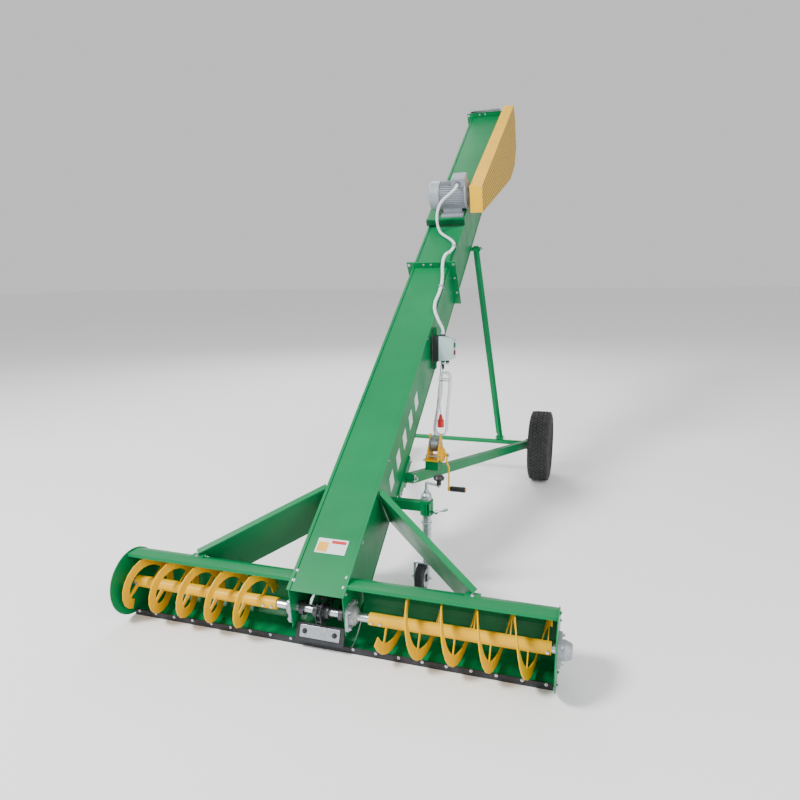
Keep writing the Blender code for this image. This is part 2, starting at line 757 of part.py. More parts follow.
def starter_box():
    """Tapered cover with two glands below it and a conduit gland above."""
    y = START[1]
    near = [(0.1953, 1.158), (0.1953, 1.320), (0.280, 1.306), (0.290, 1.300),
            (0.290, 1.178), (0.280, 1.172)]
    solids = [prism(near, "xz", y - 0.042, y + 0.042)]
    for x in (0.215, 0.245):
        solids.append(rod((x, y, 1.180), (x, y, 1.136), 0.0110, 12))
    solids.append(rod((0.215, y, 1.300), (0.215, y, 1.338), 0.0160, 12))
    holes = [rod((BUTTON_X - 0.020, y, z), (BUTTON_X + 0.02, y, z), 0.0123, 16) for z in BUTTON_Z]
    return part("starter_box", solids, STARTER_PAINT, GROUND, cut=holes)


def button(name, z, material):
    centre = (BUTTON_X, START[1], z)
    solid = rod((BUTTON_X - 0.0140, START[1], z), (BUTTON_X, START[1], z), 0.0115, 16)
    return part(name, [solid], material, GROUND, centre, smooth=True)


CONDUIT_R = 0.011


def conduit():
    """Corrugated conduit from the motor, down the cover under two clips, to the starter."""
    route = [(0.110, MOTOR_S - 0.0786, 0.305), (0.110, 3.168, 0.305), (0.098, 3.135, 0.296),
             (0.055, 3.105, 0.270), (0.005, 3.095, 0.232), (-0.030, 3.085, 0.180),
             (-0.046, 3.065, 0.120), (-0.044, 3.040, 0.060), (-0.018, 2.995, 0.025),
             (0.030, 2.945, 0.018), (0.073, 2.905, 0.018), (0.112, 2.850, 0.019),
             (0.124, 2.800, 0.020), (0.112, 2.720, 0.028), (0.098, 2.645, 0.055),
             (0.096, 2.563, 0.064), (0.102, 2.490, 0.050), (0.116, 2.400, 0.023),
             (0.126, 2.300, 0.019), (0.126, 2.220, 0.019), (0.122, 2.120, 0.020),
             (0.140, 2.030, 0.022), (0.176, 1.955, 0.006)]
    for x, z in ((0.208, 1.375), (0.215, 1.352), (0.215, 1.3390)):
        route.append((x, *ground_to_casing(START[1], z)))
    points = [route[0], *smooth_path(route[1:-1], 74), route[-1]]
    tube("conduit", points, CONDUIT_R, WHITE_PLASTIC, CASING)


CORD_R = 0.0045


def power_cable():
    """Cable between its gland and the top of the hanging hank."""
    x, y = START
    points = [(x, y, 1.1355), (x, y, 1.128), (x - 0.001, y, 1.112), (x, y, 1.097), (x, y, 1.0890)]
    tube("power_cable", smooth_path(points, 8), CORD_R, WHITE_PLASTIC, GROUND)


def power_cable_hank():
    """Outer shape of the hanging loops: gathered at the tie, spread at the bottom."""
    outline = [(0.203, 1.060), (0.212, 1.082), (0.236, 1.0885), (0.260, 1.082), (0.270, 1.055),
               (0.258, 0.850), (0.251, 0.700), (0.235, 0.665), (0.205, 0.655), (0.175, 0.665),
               (0.160, 0.700), (0.168, 0.800), (0.203, 0.945)]
    solid = prism(outline, "xz", START[1] - 0.0425, START[1] + 0.0045)
    return part("power_cable_hank", [solid], WHITE_PLASTIC, GROUND)


def power_plug():
    x = START[0]
    y = START[1] - 0.066
    profile = [(0.000, 0.004), (0.085, 0.004), (0.085, 0.008), (0.052, 0.015),
               (0.048, 0.022), (0.000, 0.022)]
    solid = turned(profile, (x, y, 0.728), 20, "z")
    core = rod((x, y, 0.731), (x, y, 0.811), 0.0045, 8)
    return part("power_plug", [solid, core], RED_PLASTIC, GROUND, smooth=True)


# ---------------------------------------------------------------- undercarriage
def fold_pivot():
    y, z = casing_to_ground(PIVOT_S, PIVOT_H)
    return (0.0, y, z)


def arm(name, side):
    """Beam from the casing pivot out to the stub axle; the right one carries the winch."""
    _, py, pz = fold_pivot()
    near = (side * 0.169, py, pz)
    far = (side * 0.655, WHEEL_Y - 0.022, 0.300)
    bush = collar((side * 0.169, py, pz), -0.022, 0.022, 0.030, 0.010, 20)
    axle = rod((side * 0.645, WHEEL_Y, WHEEL_R), (side * 0.800, WHEEL_Y, WHEEL_R), SHAFT_R, 20)
    knee = box_between((side * 0.636, WHEEL_Y - 0.05, 0.262), (side * 0.672, WHEEL_Y + 0.03, 0.330))
    bore = rod((side * 0.14, py, pz), (side * 0.20, py, pz), 0.0123, 16)
    solids = [beam(near, far, 0.040, 0.060), bush, knee, axle]
    if side > 0:
        x, y, _ = WINCH
        solids.append(box((x - 0.050, y - 0.062, 0.5530), (x + 0.030, y + 0.055, 0.6147)))
    return part(name, solids, PAINT, GROUND, fold_pivot(), cut=[bore])


def cross_tube():
    """Round tube between the arms, with lugs and pins for the struts."""
    x, y, z = STRUT_FOOT
    solids = [rod((-0.6325, y, 0.300), (0.6325, y, 0.300), 0.019, 20)]
    for side in (-1, 1):
        for offset in (-0.026, 0.026):
            middle = side * x + offset
            solids.append(box((middle - 0.003, y - 0.018, 0.300), (middle + 0.003, y + 0.018, z + 0.026)))
        solids.append(rod((side * x - 0.028, y, z + 0.008), (side * x + 0.028, y, z + 0.008), 0.006, 12))
    return part("cross_tube", solids, PAINT, GROUND, fold_pivot())


def strut(name, side):
    """Square prop from the cross tube up to the crosshead under the casing."""
    x, y, z = STRUT_FOOT
    foot = Vector((side * x, y, z + 0.008))
    head = Vector((side * STRUT_HEAD[0], STRUT_HEAD[1], STRUT_HEAD[2]))
    along = (head - foot).normalized()
    bar = beam(foot + along * 0.012, head - along * 0.010, 0.036, 0.036)
    boss = collar(head, -0.020, 0.020, 0.027, 0.012, 20)
    foot_boss = rod((side * x - 0.020, foot.y, foot.z), (side * x + 0.020, foot.y, foot.z), 0.014, 16)
    cuts = [rod((side * x - 0.05, foot.y, foot.z), (side * x + 0.05, foot.y, foot.z), 0.0063, 12),
            rod((side * 0.1, head.y, head.z), (side * 0.24, head.y, head.z), 0.0173, 20)]
    for offset in (-0.026, 0.026):
        middle = side * x + offset
        cuts.append(box((middle - 0.0034, y - 0.03, 0.28), (middle + 0.0034, y + 0.03, z + 0.045)))
    cuts.append(rod((side * x - 0.1, y, 0.300), (side * x + 0.1, y, 0.300), 0.0194, 20))
    return part(name, [bar, boss, foot_boss], PAINT, GROUND, (0, y, z + 0.008), cut=cuts)


def crosshead():
    """Sliding cross pin under the casing with the block that holds the winch rope."""
    _, y, z = STRUT_HEAD
    pin = rod((-0.205, y, z), (0.205, y, z), 0.017, 20)
    block = box((-0.060, y - 0.030, z - 0.024), (0.000, y + 0.020, z + 0.024))
    return part("crosshead", [pin, block], PAINT, GROUND, (0, y, z))


def tyre(name, side):
    half = TYRE_W / 2
    profile = [(-half * 0.62, RIM_R + GAP), (half * 0.62, RIM_R + GAP),
               (half * 0.86, RIM_R + 0.012), (half, WHEEL_R - 0.070), (half * 0.94, WHEEL_R - 0.022),
               (half * 0.76, WHEEL_R - 0.004), (half * 0.40, WHEEL_R), (-half * 0.40, WHEEL_R),
               (-half * 0.76, WHEEL_R - 0.004), (-half * 0.94, WHEEL_R - 0.022),
               (-half, WHEEL_R - 0.070), (-half * 0.86, RIM_R + 0.012)]
    centre = (side * WHEEL_X, WHEEL_Y, WHEEL_R)
    return part(name, [turned(profile, centre, 40)], TYRE_RUBBER, GROUND, centre, smooth=True)


def rim(name, side):
    bore = SHAFT_R + GAP
    profile = [(0.0, bore), (0.050, bore), (0.050, 0.032), (0.034, 0.050), (0.034, 0.105),
               (0.020, 0.140), (0.052, 0.146), (0.056, RIM_R), (-0.056, RIM_R),
               (-0.056, 0.155), (0.008, 0.142), (0.018, 0.100), (0.018, 0.050), (-0.030, 0.036),
               (-0.030, bore)]
    profile = [(side * axial, radius) for axial, radius in profile]
    centre = (side * WHEEL_X, WHEEL_Y, WHEEL_R)
    return part(name, [turned(profile, centre, 40)], SILVER, GROUND, centre, smooth=True)


# ---------------------------------------------------------------- winch
def winch_frame():
    """Base plate, two cheeks, drum pin and the gear cover with the crank's bush."""
    x, y, z = WINCH
    solids = [box((x - 0.058, y - 0.086, 0.6150), (x + 0.034, y + 0.060, 0.6210))]
    cheek = [(y - 0.086, 0.618), (y - 0.086, 0.664), (y - 0.030, 0.735), (y - 0.018, 0.765),
             (y + 0.014, 0.765), (y + 0.058, 0.660), (y + 0.060, 0.618)]
    for inner in (x - 0.0340, x + 0.0290):
        solids.append(prism(cheek, "yz", inner, inner + 0.004))
    solids.append(rod((x - 0.0320, y, z), (x + 0.0310, y, z), 0.008, 12))
    solids.append(rod((x + 0.0320, y, CRANK_Z), (x + 0.0540, y, CRANK_Z), 0.036, 20))
    bore = rod((x + 0.0350, y, CRANK_Z), (x + 0.080, y, CRANK_Z), 0.0083, 12)
    return part("winch_frame", solids, YELLOW_PAINT, GROUND, fold_pivot(), cut=[bore])


def winch_drum():
    x, y, z = WINCH
    bore = 0.0083
    profile = [(-0.0265, bore), (0.0265, bore), (0.0265, 0.046), (0.0235, 0.046),
               (0.0235, 0.031), (-0.0235, 0.031), (-0.0235, 0.046), (-0.0265, 0.046)]
    return part("winch_drum", [turned(profile, (x, y, z), 24)], GALVANISED, GROUND, (x, y, z), smooth=True)


def winch_crank():
    y = WINCH[1]
    x = CRANK_X
    solids = [rod((0.2980, y, CRANK_Z), (x + 0.004, y, CRANK_Z), 0.008, 12),
              plate_arm(x, y), rod((x + 0.010, y, 0.424), (x + 0.122, y, 0.424), 0.013, 14)]
    return part("winch_crank", solids, YELLOW_PAINT, GROUND, (x, y, CRANK_Z))


def plate_arm(x, y):
    outline = [(x, CRANK_Z + 0.014), (x + 0.005, CRANK_Z + 0.014), (x + 0.005, 0.590),
               (x + 0.018, 0.560), (x + 0.018, 0.408), (x + 0.013, 0.408), (x + 0.013, 0.561),
               (x, 0.591)]
    return prism(outline, "xz", y - 0.013, y + 0.013)


def winch_rope():
    """Taut rope from the drum up to the crosshead."""
    x, y, z = WINCH
    head = Vector((-0.030, STRUT_HEAD[1] - 0.0330, STRUT_HEAD[2] - 0.001))
    lift = 0.0346
    start = Vector((x - 0.008, y - lift * math.sin(TILT), z + lift * math.cos(TILT)))
    points = [start.lerp(head, step / 11) for step in range(12)]
    return tube("winch_rope", points, 0.003, ROPE_STEEL, GROUND)


# ---------------------------------------------------------------- jack
def jack_bracket():
    """Green arm from the casing side with the split clamp that holds the jack."""
    x, y = JACK
    solids = [box((0.1385, y - 0.018, 0.472), (x - 0.028, y + 0.032, 0.520)),
              collar((x, y, 0.495), -0.040, 0.040, 0.036, 0.015, 24, "z")]
    bore = rod((x, y, 0.40), (x, y, 0.60), 0.0243, 24)
    pin = rod((x + 0.005, y - 0.030, 0.480), (x + 0.052, y - 0.030, 0.480), 0.006, 10)
    return part("jack_bracket", [*solids, pin], PAINT, GROUND, cut=[bore])


def jack_tube():
    x, y = JACK
    solids = [rod((x, y, 0.240), (x, y, 0.5365), 0.0240, 24),
              rod((x, y, 0.5353), (x, y, 0.562), 0.0270, 24),
              rod((x, y, 0.5615), (x, y, 0.573), 0.0270, 24, 0.0200)]
    cuts = [rod((x, y, 0.20), (x, y, 0.562), 0.0203, 24), rod((x, y, 0.55), (x, y, 0.62), 0.0083, 12)]
    return part("jack_tube", solids, GALVANISED, GROUND, (x, y, 0.240), cut=cuts, smooth=True)


def jack_leg():
    x, y = JACK
    solids = [rod((x, y, 0.172), (x, y, 0.500), 0.0200, 20)]
    solids.append(box((x - 0.071, y - 0.020, 0.168), (x + 0.022, y + 0.020, 0.176)))
    for inner in (x - 0.071, x + 0.007):
        solids.append(box((inner, y - 0.018, 0.062), (inner + 0.004, y + 0.018, 0.172)))
    solids.append(rod((x - 0.069, y, JACK_WHEEL_R), (x + 0.009, y, JACK_WHEEL_R), 0.007, 12))
    return part("jack_leg", solids, GALVANISED, GROUND, (x, y, 0.172))


def jack_wheel():
    half = 0.025
    centre = (JACK_WHEEL_X, JACK[1], JACK_WHEEL_R)
    profile = [(-half - 0.006, 0.0073), (half + 0.006, 0.0073), (half + 0.006, 0.020),
               (half - 0.006, 0.030), (half, 0.052), (half - 0.004, JACK_WHEEL_R - 0.003),
               (half - 0.010, JACK_WHEEL_R), (-half + 0.010, JACK_WHEEL_R),
               (-half + 0.004, JACK_WHEEL_R - 0.003), (-half, 0.052), (-half + 0.006, 0.030),
               (-half - 0.006, 0.020)]
    return part("jack_wheel", [turned(profile, centre, 32)], BLACK_RUBBER, GROUND, centre, smooth=True)


def jack_crank():
    x, y = JACK
    stem = rod((x, y, 0.5608), (x, y, 0.633), 0.008, 10)
    bar = rod((x, y, 0.630), (x + 0.070, y, 0.620), 0.006, 10)
    knob_stem = rod((x + 0.068, y, 0.612), (x + 0.068, y, 0.662), 0.0095, 12)
    knob = turned([(0.0, 0.0008), (0.002, 0.027), (0.012, 0.028), (0.022, 0.020), (0.027, 0.0008)],
                  (x + 0.068, y, 0.654), 20, "z")
    nut = rod((x, y, 0.5736), (x, y, 0.588), 0.0145, 6)
    return part("jack_crank", [stem, bar, knob_stem, knob, nut], GALVANISED, GROUND, (x, y, 0.574))


def clamp_lever():
    x, y = JACK
    base = (x + 0.060, y - 0.030, 0.480)
    boss = collar(base, -0.0075, 0.0075, 0.011, 0.004, 12)
    bar = rod((x + 0.060, y - 0.034, 0.484), (x + 0.105, y - 0.040, 0.500), 0.005, 10)
    tip = rod((x + 0.100, y - 0.0395, 0.498), (x + 0.124, y - 0.042, 0.508), 0.008, 12)
    return part("clamp_lever", [boss, bar, tip], GALVANISED, GROUND, base)


# ---------------------------------------------------------------- assembly
for old in list(bpy.data.objects):
    bpy.data.objects.remove(old, do_unlink=True)

GROUND = make_empty("ground_frame", Matrix.Translation((0, SHAFT_Y, 0)))
CASING = make_empty("casing_frame", Matrix.Translation((0, SHAFT_Y + FOOT_Y, FOOT_Z))
                    @ Matrix.Rotation(TILT, 4, "X"))

PAINT = make_material("green_paint", GREEN, 0.38, 0.0)
YELLOW_PAINT = make_material("yellow_paint", YELLOW, 0.38, 0.0)
GALVANISED = make_material("galvanised", ZINC, 0.40, 0.9)
DARK_STEEL = make_material("dark_steel", STEEL, 0.50, 0.8)
BLACK_RUBBER = make_material("black_rubber", RUBBER, 0.75, 0.0)
TYRE_RUBBER = make_material("tyre_rubber", RUBBER, 0.85, 0.0)
MOTOR_PAINT = make_material("motor_paint", MOTOR_GREY, 0.45, 0.0)
STARTER_PAINT = make_material("starter_plastic", STARTER_GREY, 0.40, 0.0)
WHITE_PLASTIC = make_material("white_plastic", WHITE, 0.50, 0.0)
BLACK_PLASTIC = make_material("black_plastic", RUBBER, 0.45, 0.0)
RED_PLASTIC = make_material("red_plastic", RED, 0.40, 0.0)
GREEN_PLASTIC = make_material("green_plastic", (0.01, 0.25, 0.08), 0.40, 0.0)
ROPE_STEEL = make_material("rope_steel", ZINC, 0.45, 0.9)
SILVER = make_material("silver_paint", (0.62, 0.64, 0.68), 0.35, 0.6)

lower_casing()
cover("lower_cover", 0.0, S_JOINT - GAP / 2, [(S_JOINT - GAP / 2 - FLANGE_T, S_JOINT - GAP / 2)])
upper_casing()
cover("upper_cover", S_JOINT + GAP / 2, S_HEAD - GAP / 2,
      [(S_JOINT + GAP / 2, S_JOINT + GAP / 2 + FLANGE_T),
       (S_HEAD - GAP / 2 - FLANGE_T, S_HEAD - GAP / 2)])
head_cap()
drag_chain()
intake_flight()
tail_shaft()
tail_sprocket()
for side, word in ((-1, "left"), (1, "right")):
    flanged_bearing(word + "_outer_bearing", GROUND, (side * 1.0715, 0.0, SHAFT_Z), side, True)
    flanged_bearing(word + "_inner_bearing", GROUND, (side * 0.1365, 0.0, SHAFT_Z), side, False)
    flanged_bearing(word + "_head_bearing", CASING, (side * 0.1385, *head_axis()[1:]), side, False)
    trough(word + "_trough", side)
    brace(word + "_brace", side)
    arm(word + "_arm", side)
    strut(word + "_strut", side)
    tyre(word + "_tyre", side)
    rim(word + "_rim", side)
screw("left_screw", -1, -0.26, 4.44, 0.353)
screw("right_screw", 1, -0.70, 3.98, 0.415)
rubber_skirt()
motor_plate()
motor_body()
terminal_box()
motor_pulley()
head_shaft()
head_pulley()
drive_belt()
guard_frame()
guard_mesh()
starter_bracket()
starter_base()
starter_box()
button("start_button", BUTTON_Z[0], GREEN_PLASTIC)
button("stop_button", BUTTON_Z[1], RED_PLASTIC)
conduit()
power_cable()
power_cable_hank()
power_plug()
cross_tube()
crosshead()
winch_frame()
winch_drum()
winch_crank()
winch_rope()
jack_bracket()
jack_tube()
jack_leg()
jack_wheel()
jack_crank()
clamp_lever()
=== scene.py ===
"""Visual model of the drag-chain grain loader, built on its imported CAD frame."""

import math

import bmesh
import bpy
from mathutils import Matrix, Vector


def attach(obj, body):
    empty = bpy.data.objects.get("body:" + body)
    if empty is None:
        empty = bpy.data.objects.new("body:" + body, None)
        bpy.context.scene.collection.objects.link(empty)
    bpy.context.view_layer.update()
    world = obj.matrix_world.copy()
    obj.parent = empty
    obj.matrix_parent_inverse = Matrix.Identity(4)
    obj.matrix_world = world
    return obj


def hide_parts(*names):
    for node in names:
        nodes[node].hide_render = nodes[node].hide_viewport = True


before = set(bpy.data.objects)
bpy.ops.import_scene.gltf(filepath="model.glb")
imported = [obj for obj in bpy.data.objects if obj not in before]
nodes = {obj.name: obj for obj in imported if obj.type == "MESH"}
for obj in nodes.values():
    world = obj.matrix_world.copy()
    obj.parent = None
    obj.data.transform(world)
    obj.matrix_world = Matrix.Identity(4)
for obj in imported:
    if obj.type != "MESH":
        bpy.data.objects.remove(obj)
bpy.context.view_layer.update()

SHAFT_Y = -2.1153
SHAFT_Z = 0.178
TILT = math.radians(34.6)
FOOT_Y = -0.077
FOOT_Z = 0.305
COS = math.cos(TILT)
SIN = math.sin(TILT)
S_JOINT = 2.563
S_HEAD = 5.18
S_HEAD_SHAFT = 4.88
MOTOR_S = 3.26
MOTOR_H = 0.188
MOTOR_X = 0.022
WHEEL_X = 0.762
WHEEL_Y = 2.717
WHEEL_R = 0.2885
SHAFT_S = (0 - FOOT_Y) * COS + (SHAFT_Z - FOOT_Z) * SIN
SHAFT_H = (SHAFT_Z - FOOT_Z) * COS - (0 - FOOT_Y) * SIN
START = (0.215, 1.500)
JACK = (0.338, 0.620)
JACK_WHEEL_X = 0.308
WINCH = (0.262, 1.117, 0.700)
CRANK_Z = 0.637

GROUND = Matrix.Translation((0, SHAFT_Y, 0))
CASING = Matrix.Translation((0, SHAFT_Y + FOOT_Y, FOOT_Z)) @ Matrix.Rotation(TILT, 4, "X")


def on_casing(x, s, h):
    return CASING @ Vector((x, s, h))


def on_ground(x, y, z):
    return GROUND @ Vector((x, y, z))


# ---------------------------------------------------------------- camera
CAM_AT = on_ground(1.155, -2.3825, 1.724)
YAW, PITCH, ROLL, LENS = 0.309, 0.204, -0.014, 27.64
ahead = Vector((-math.sin(YAW) * math.cos(PITCH), math.cos(YAW) * math.cos(PITCH), -math.sin(PITCH)))
right = Vector((math.cos(YAW), math.sin(YAW), 0))
above = right.cross(ahead)
side_axis = right * math.cos(ROLL) + above * math.sin(ROLL)
top_axis = above * math.cos(ROLL) - right * math.sin(ROLL)
camera_data = bpy.data.cameras.new("camera")
camera_data.lens = LENS
camera_data.sensor_width = 36.0
camera_data.clip_end = 100.0
camera = bpy.data.objects.new("camera", camera_data)
bpy.context.scene.collection.objects.link(camera)
turn = Matrix((side_axis, top_axis, -ahead)).transposed().to_4x4()
camera.matrix_world = Matrix.Translation(CAM_AT) @ turn
bpy.context.scene.camera = camera


# ---------------------------------------------------------------- materials
NOISE_DETAIL = 4.0
SPANGLE_SCALE = 130.0
HOLE_PITCH = 0.044                 # of the two interleaved grids of holes
HOLE_AREA = 0.072                  # squared radius of a hole, in pitches


def shader_parts(name):
    material = bpy.data.materials.new(name)
    material.use_nodes = True
    tree = material.node_tree
    return material, tree, tree.nodes["Principled BSDF"]


def noise(tree, scale):
    place = tree.nodes.new("ShaderNodeTexCoord")
    texture = tree.nodes.new("ShaderNodeTexNoise")
    texture.inputs["Scale"].default_value = scale
    texture.inputs["Detail"].default_value = NOISE_DETAIL
    tree.links.new(place.outputs["Object"], texture.inputs["Vector"])
    return texture.outputs["Fac"]


def ramp(tree, source, stops):
    node = tree.nodes.new("ShaderNodeValToRGB")
    elements = node.color_ramp.elements
    while len(elements) < len(stops):
        elements.new(0.5)
    for element, (place, colour) in zip(elements, stops):
        element.position = place
        element.color = (*colour, 1.0)
    tree.links.new(source, node.inputs["Fac"])
    return node.outputs["Color"]


def spread(tree, source, low, high):
    node = tree.nodes.new("ShaderNodeMapRange")
    node.inputs["From Min"].default_value = 0.3
    node.inputs["From Max"].default_value = 0.7
    node.inputs["To Min"].default_value = low
    node.inputs["To Max"].default_value = high
    tree.links.new(source, node.inputs["Value"])
    return node.outputs["Result"]


def bump(tree, shader, source, strength, distance):
    node = tree.nodes.new("ShaderNodeBump")
    node.inputs["Strength"].default_value = strength
    node.inputs["Distance"].default_value = distance
    tree.links.new(source, node.inputs["Height"])
    tree.links.new(node.outputs["Normal"], shader.inputs["Normal"])


def tone(colour, factor):
    return tuple(min(c * factor, 1.0) for c in colour)


def surface(name, colour, rough, metal=0.0, grain=9.0, vary=0.18, relief=0.15, gloss=0.5, fine=180.0):
    """Slightly uneven finish: patchy colour and roughness over a fine relief."""
    material, tree, shader = shader_parts(name)
    patches = noise(tree, grain)
    stops = [(0.30, tone(colour, 1 - vary)), (0.55, colour), (0.75, tone(colour, 1 + vary))]
    tree.links.new(ramp(tree, patches, stops), shader.inputs["Base Color"])
    tree.links.new(spread(tree, noise(tree, grain * 3), rough * 0.82, min(rough * 1.25, 1.0)),
                   shader.inputs["Roughness"])
    shader.inputs["Metallic"].default_value = metal
    shader.inputs["Specular IOR Level"].default_value = gloss
    bump(tree, shader, noise(tree, fine), relief, 0.0006)
    return material


def spangle(name, colour, rough):
    """Zinc coating with its crystal pattern."""
    material, tree, shader = shader_parts(name)
    place = tree.nodes.new("ShaderNodeTexCoord")
    cells = tree.nodes.new("ShaderNodeTexVoronoi")
    cells.inputs["Scale"].default_value = SPANGLE_SCALE
    tree.links.new(place.outputs["Object"], cells.inputs["Vector"])
    stops = [(0.0, tone(colour, 0.72)), (0.5, colour), (1.0, tone(colour, 1.25))]
    tree.links.new(ramp(tree, cells.outputs["Color"], stops), shader.inputs["Base Color"])
    tree.links.new(spread(tree, noise(tree, 40), rough * 0.7, rough * 1.4), shader.inputs["Roughness"])
    shader.inputs["Metallic"].default_value = 0.75
    bump(tree, shader, noise(tree, 260), 0.12, 0.0004)
    return material


def punched(name, colour):
    """Perforated sheet: rows of round holes, painted dark as the shade seen through them."""
    material, tree, shader = shader_parts(name)
    place = tree.nodes.new("ShaderNodeTexCoord")
    mapping = tree.nodes.new("ShaderNodeMapping")
    mapping.vector_type = "TEXTURE"
    mapping.inputs["Rotation"].default_value = (TILT, 0, 0)
    mapping.inputs["Scale"].default_value = (1.0, HOLE_PITCH, HOLE_PITCH)
    tree.links.new(place.outputs["Object"], mapping.inputs["Vector"])
    parts = tree.nodes.new("ShaderNodeSeparateXYZ")
    tree.links.new(mapping.outputs["Vector"], parts.inputs["Vector"])

    def maths(kind, first, second=None):
        node = tree.nodes.new("ShaderNodeMath")
        node.operation = kind
        for socket, value in zip(node.inputs, (first, second)):
            if value is None:
                continue
            if isinstance(value, float):
                socket.default_value = value
            else:
                tree.links.new(value, socket)
        return node.outputs[0]

    def holes(shift):
        squares = []
        for axis in ("Y", "Z"):
            inside = maths("SUBTRACT", maths("FRACT", maths("ADD", parts.outputs[axis], shift)), 0.5)
            squares.append(maths("MULTIPLY", inside, inside))
        return maths("LESS_THAN", maths("ADD", squares[0], squares[1]), HOLE_AREA)

    both = maths("MAXIMUM", holes(0.0), holes(0.5))
    # Holes get a near-black tone: painted shade of the guard's inside seen through the perforations.
    stops = [(0.0, colour), (1.0, tone(colour, 0.12))]
    tree.links.new(ramp(tree, both, stops), shader.inputs["Base Color"])
    shader.inputs["Roughness"].default_value = 0.42
    shader.inputs["Specular IOR Level"].default_value = 0.15
    flipped = maths("SUBTRACT", 1.0, both)
    bump(tree, shader, flipped, 0.8, 0.002)
    return material


GREEN = surface("green_enamel", (0.001, 0.190, 0.060), 0.34, grain=2.2, vary=0.12, relief=0.10,
                gloss=0.22)
# Green enamel at half brightness: painted shade for the shadowed front lip of the motor plate.
GREEN_PAINTED_SHADE = surface("green_enamel_painted_shade", (0.001, 0.095, 0.032), 0.42, grain=5.0, vary=0.25, relief=0.2,
                     gloss=0.2)
YELLOW = surface("yellow_enamel", (0.84, 0.46, 0.002), 0.36, grain=6.0, vary=0.10, relief=0.10, gloss=0.2)
MESH = punched("yellow_punched_sheet", (0.80, 0.47, 0.003))
ZINC = spangle("zinc_coating", (0.48, 0.52, 0.56), 0.34)
BRIGHT = surface("bright_zinc", (0.62, 0.66, 0.70), 0.24, metal=0.85, grain=60, vary=0.15)
CAST = surface("cast_bearing_grey", (0.40, 0.43, 0.46), 0.50, metal=0.55, grain=50, vary=0.2, relief=0.5)
STEEL = surface("oiled_steel", (0.075, 0.078, 0.085), 0.40, metal=0.7, grain=45, vary=0.35, relief=0.3)
RUBBER = surface("belting_rubber", (0.022, 0.024, 0.028), 0.68, grain=30, vary=0.3, relief=0.35)
TREAD = surface("tread_rubber", (0.036, 0.036, 0.037), 0.80, grain=25, vary=0.3, relief=0.4)
GREY = surface("motor_enamel", (0.30, 0.33, 0.37), 0.42, grain=14, vary=0.12, relief=0.25)
STARTER = surface("starter_moulding", (0.40, 0.55, 0.54), 0.36, grain=20, vary=0.06, relief=0.1)
WHITE = surface("white_sheath", (0.76, 0.79, 0.84), 0.42, grain=20, vary=0.07, relief=0.1)
BLACK = surface("black_moulding", (0.014, 0.015, 0.018), 0.38, grain=20, vary=0.2)
RED = surface("red_moulding", (0.56, 0.012, 0.014), 0.34, grain=20, vary=0.08)
PUSH = surface("green_button_moulding", (0.01, 0.30, 0.09), 0.32, grain=20, vary=0.08)
SILVER = surface("wheel_silver", (0.60, 0.62, 0.66), 0.30, metal=0.6, grain=20, vary=0.08)
ROPE = surface("stranded_wire", (0.42, 0.45, 0.48), 0.38, metal=0.8, grain=400, vary=0.35, relief=0.6)
LABEL = surface("label_film", (0.74, 0.76, 0.78), 0.45, grain=15, vary=0.05)
AMBER = surface("label_amber", (0.85, 0.42, 0.02), 0.45, grain=15, vary=0.05)


# ---------------------------------------------------------------- mesh building
X_AXIS = Vector((1, 0, 0))


def facing(out):
    """Rotation that keeps X and turns Y to a unit direction at right angles to it."""
    return Matrix((X_AXIS, out, X_AXIS.cross(out))).transposed()


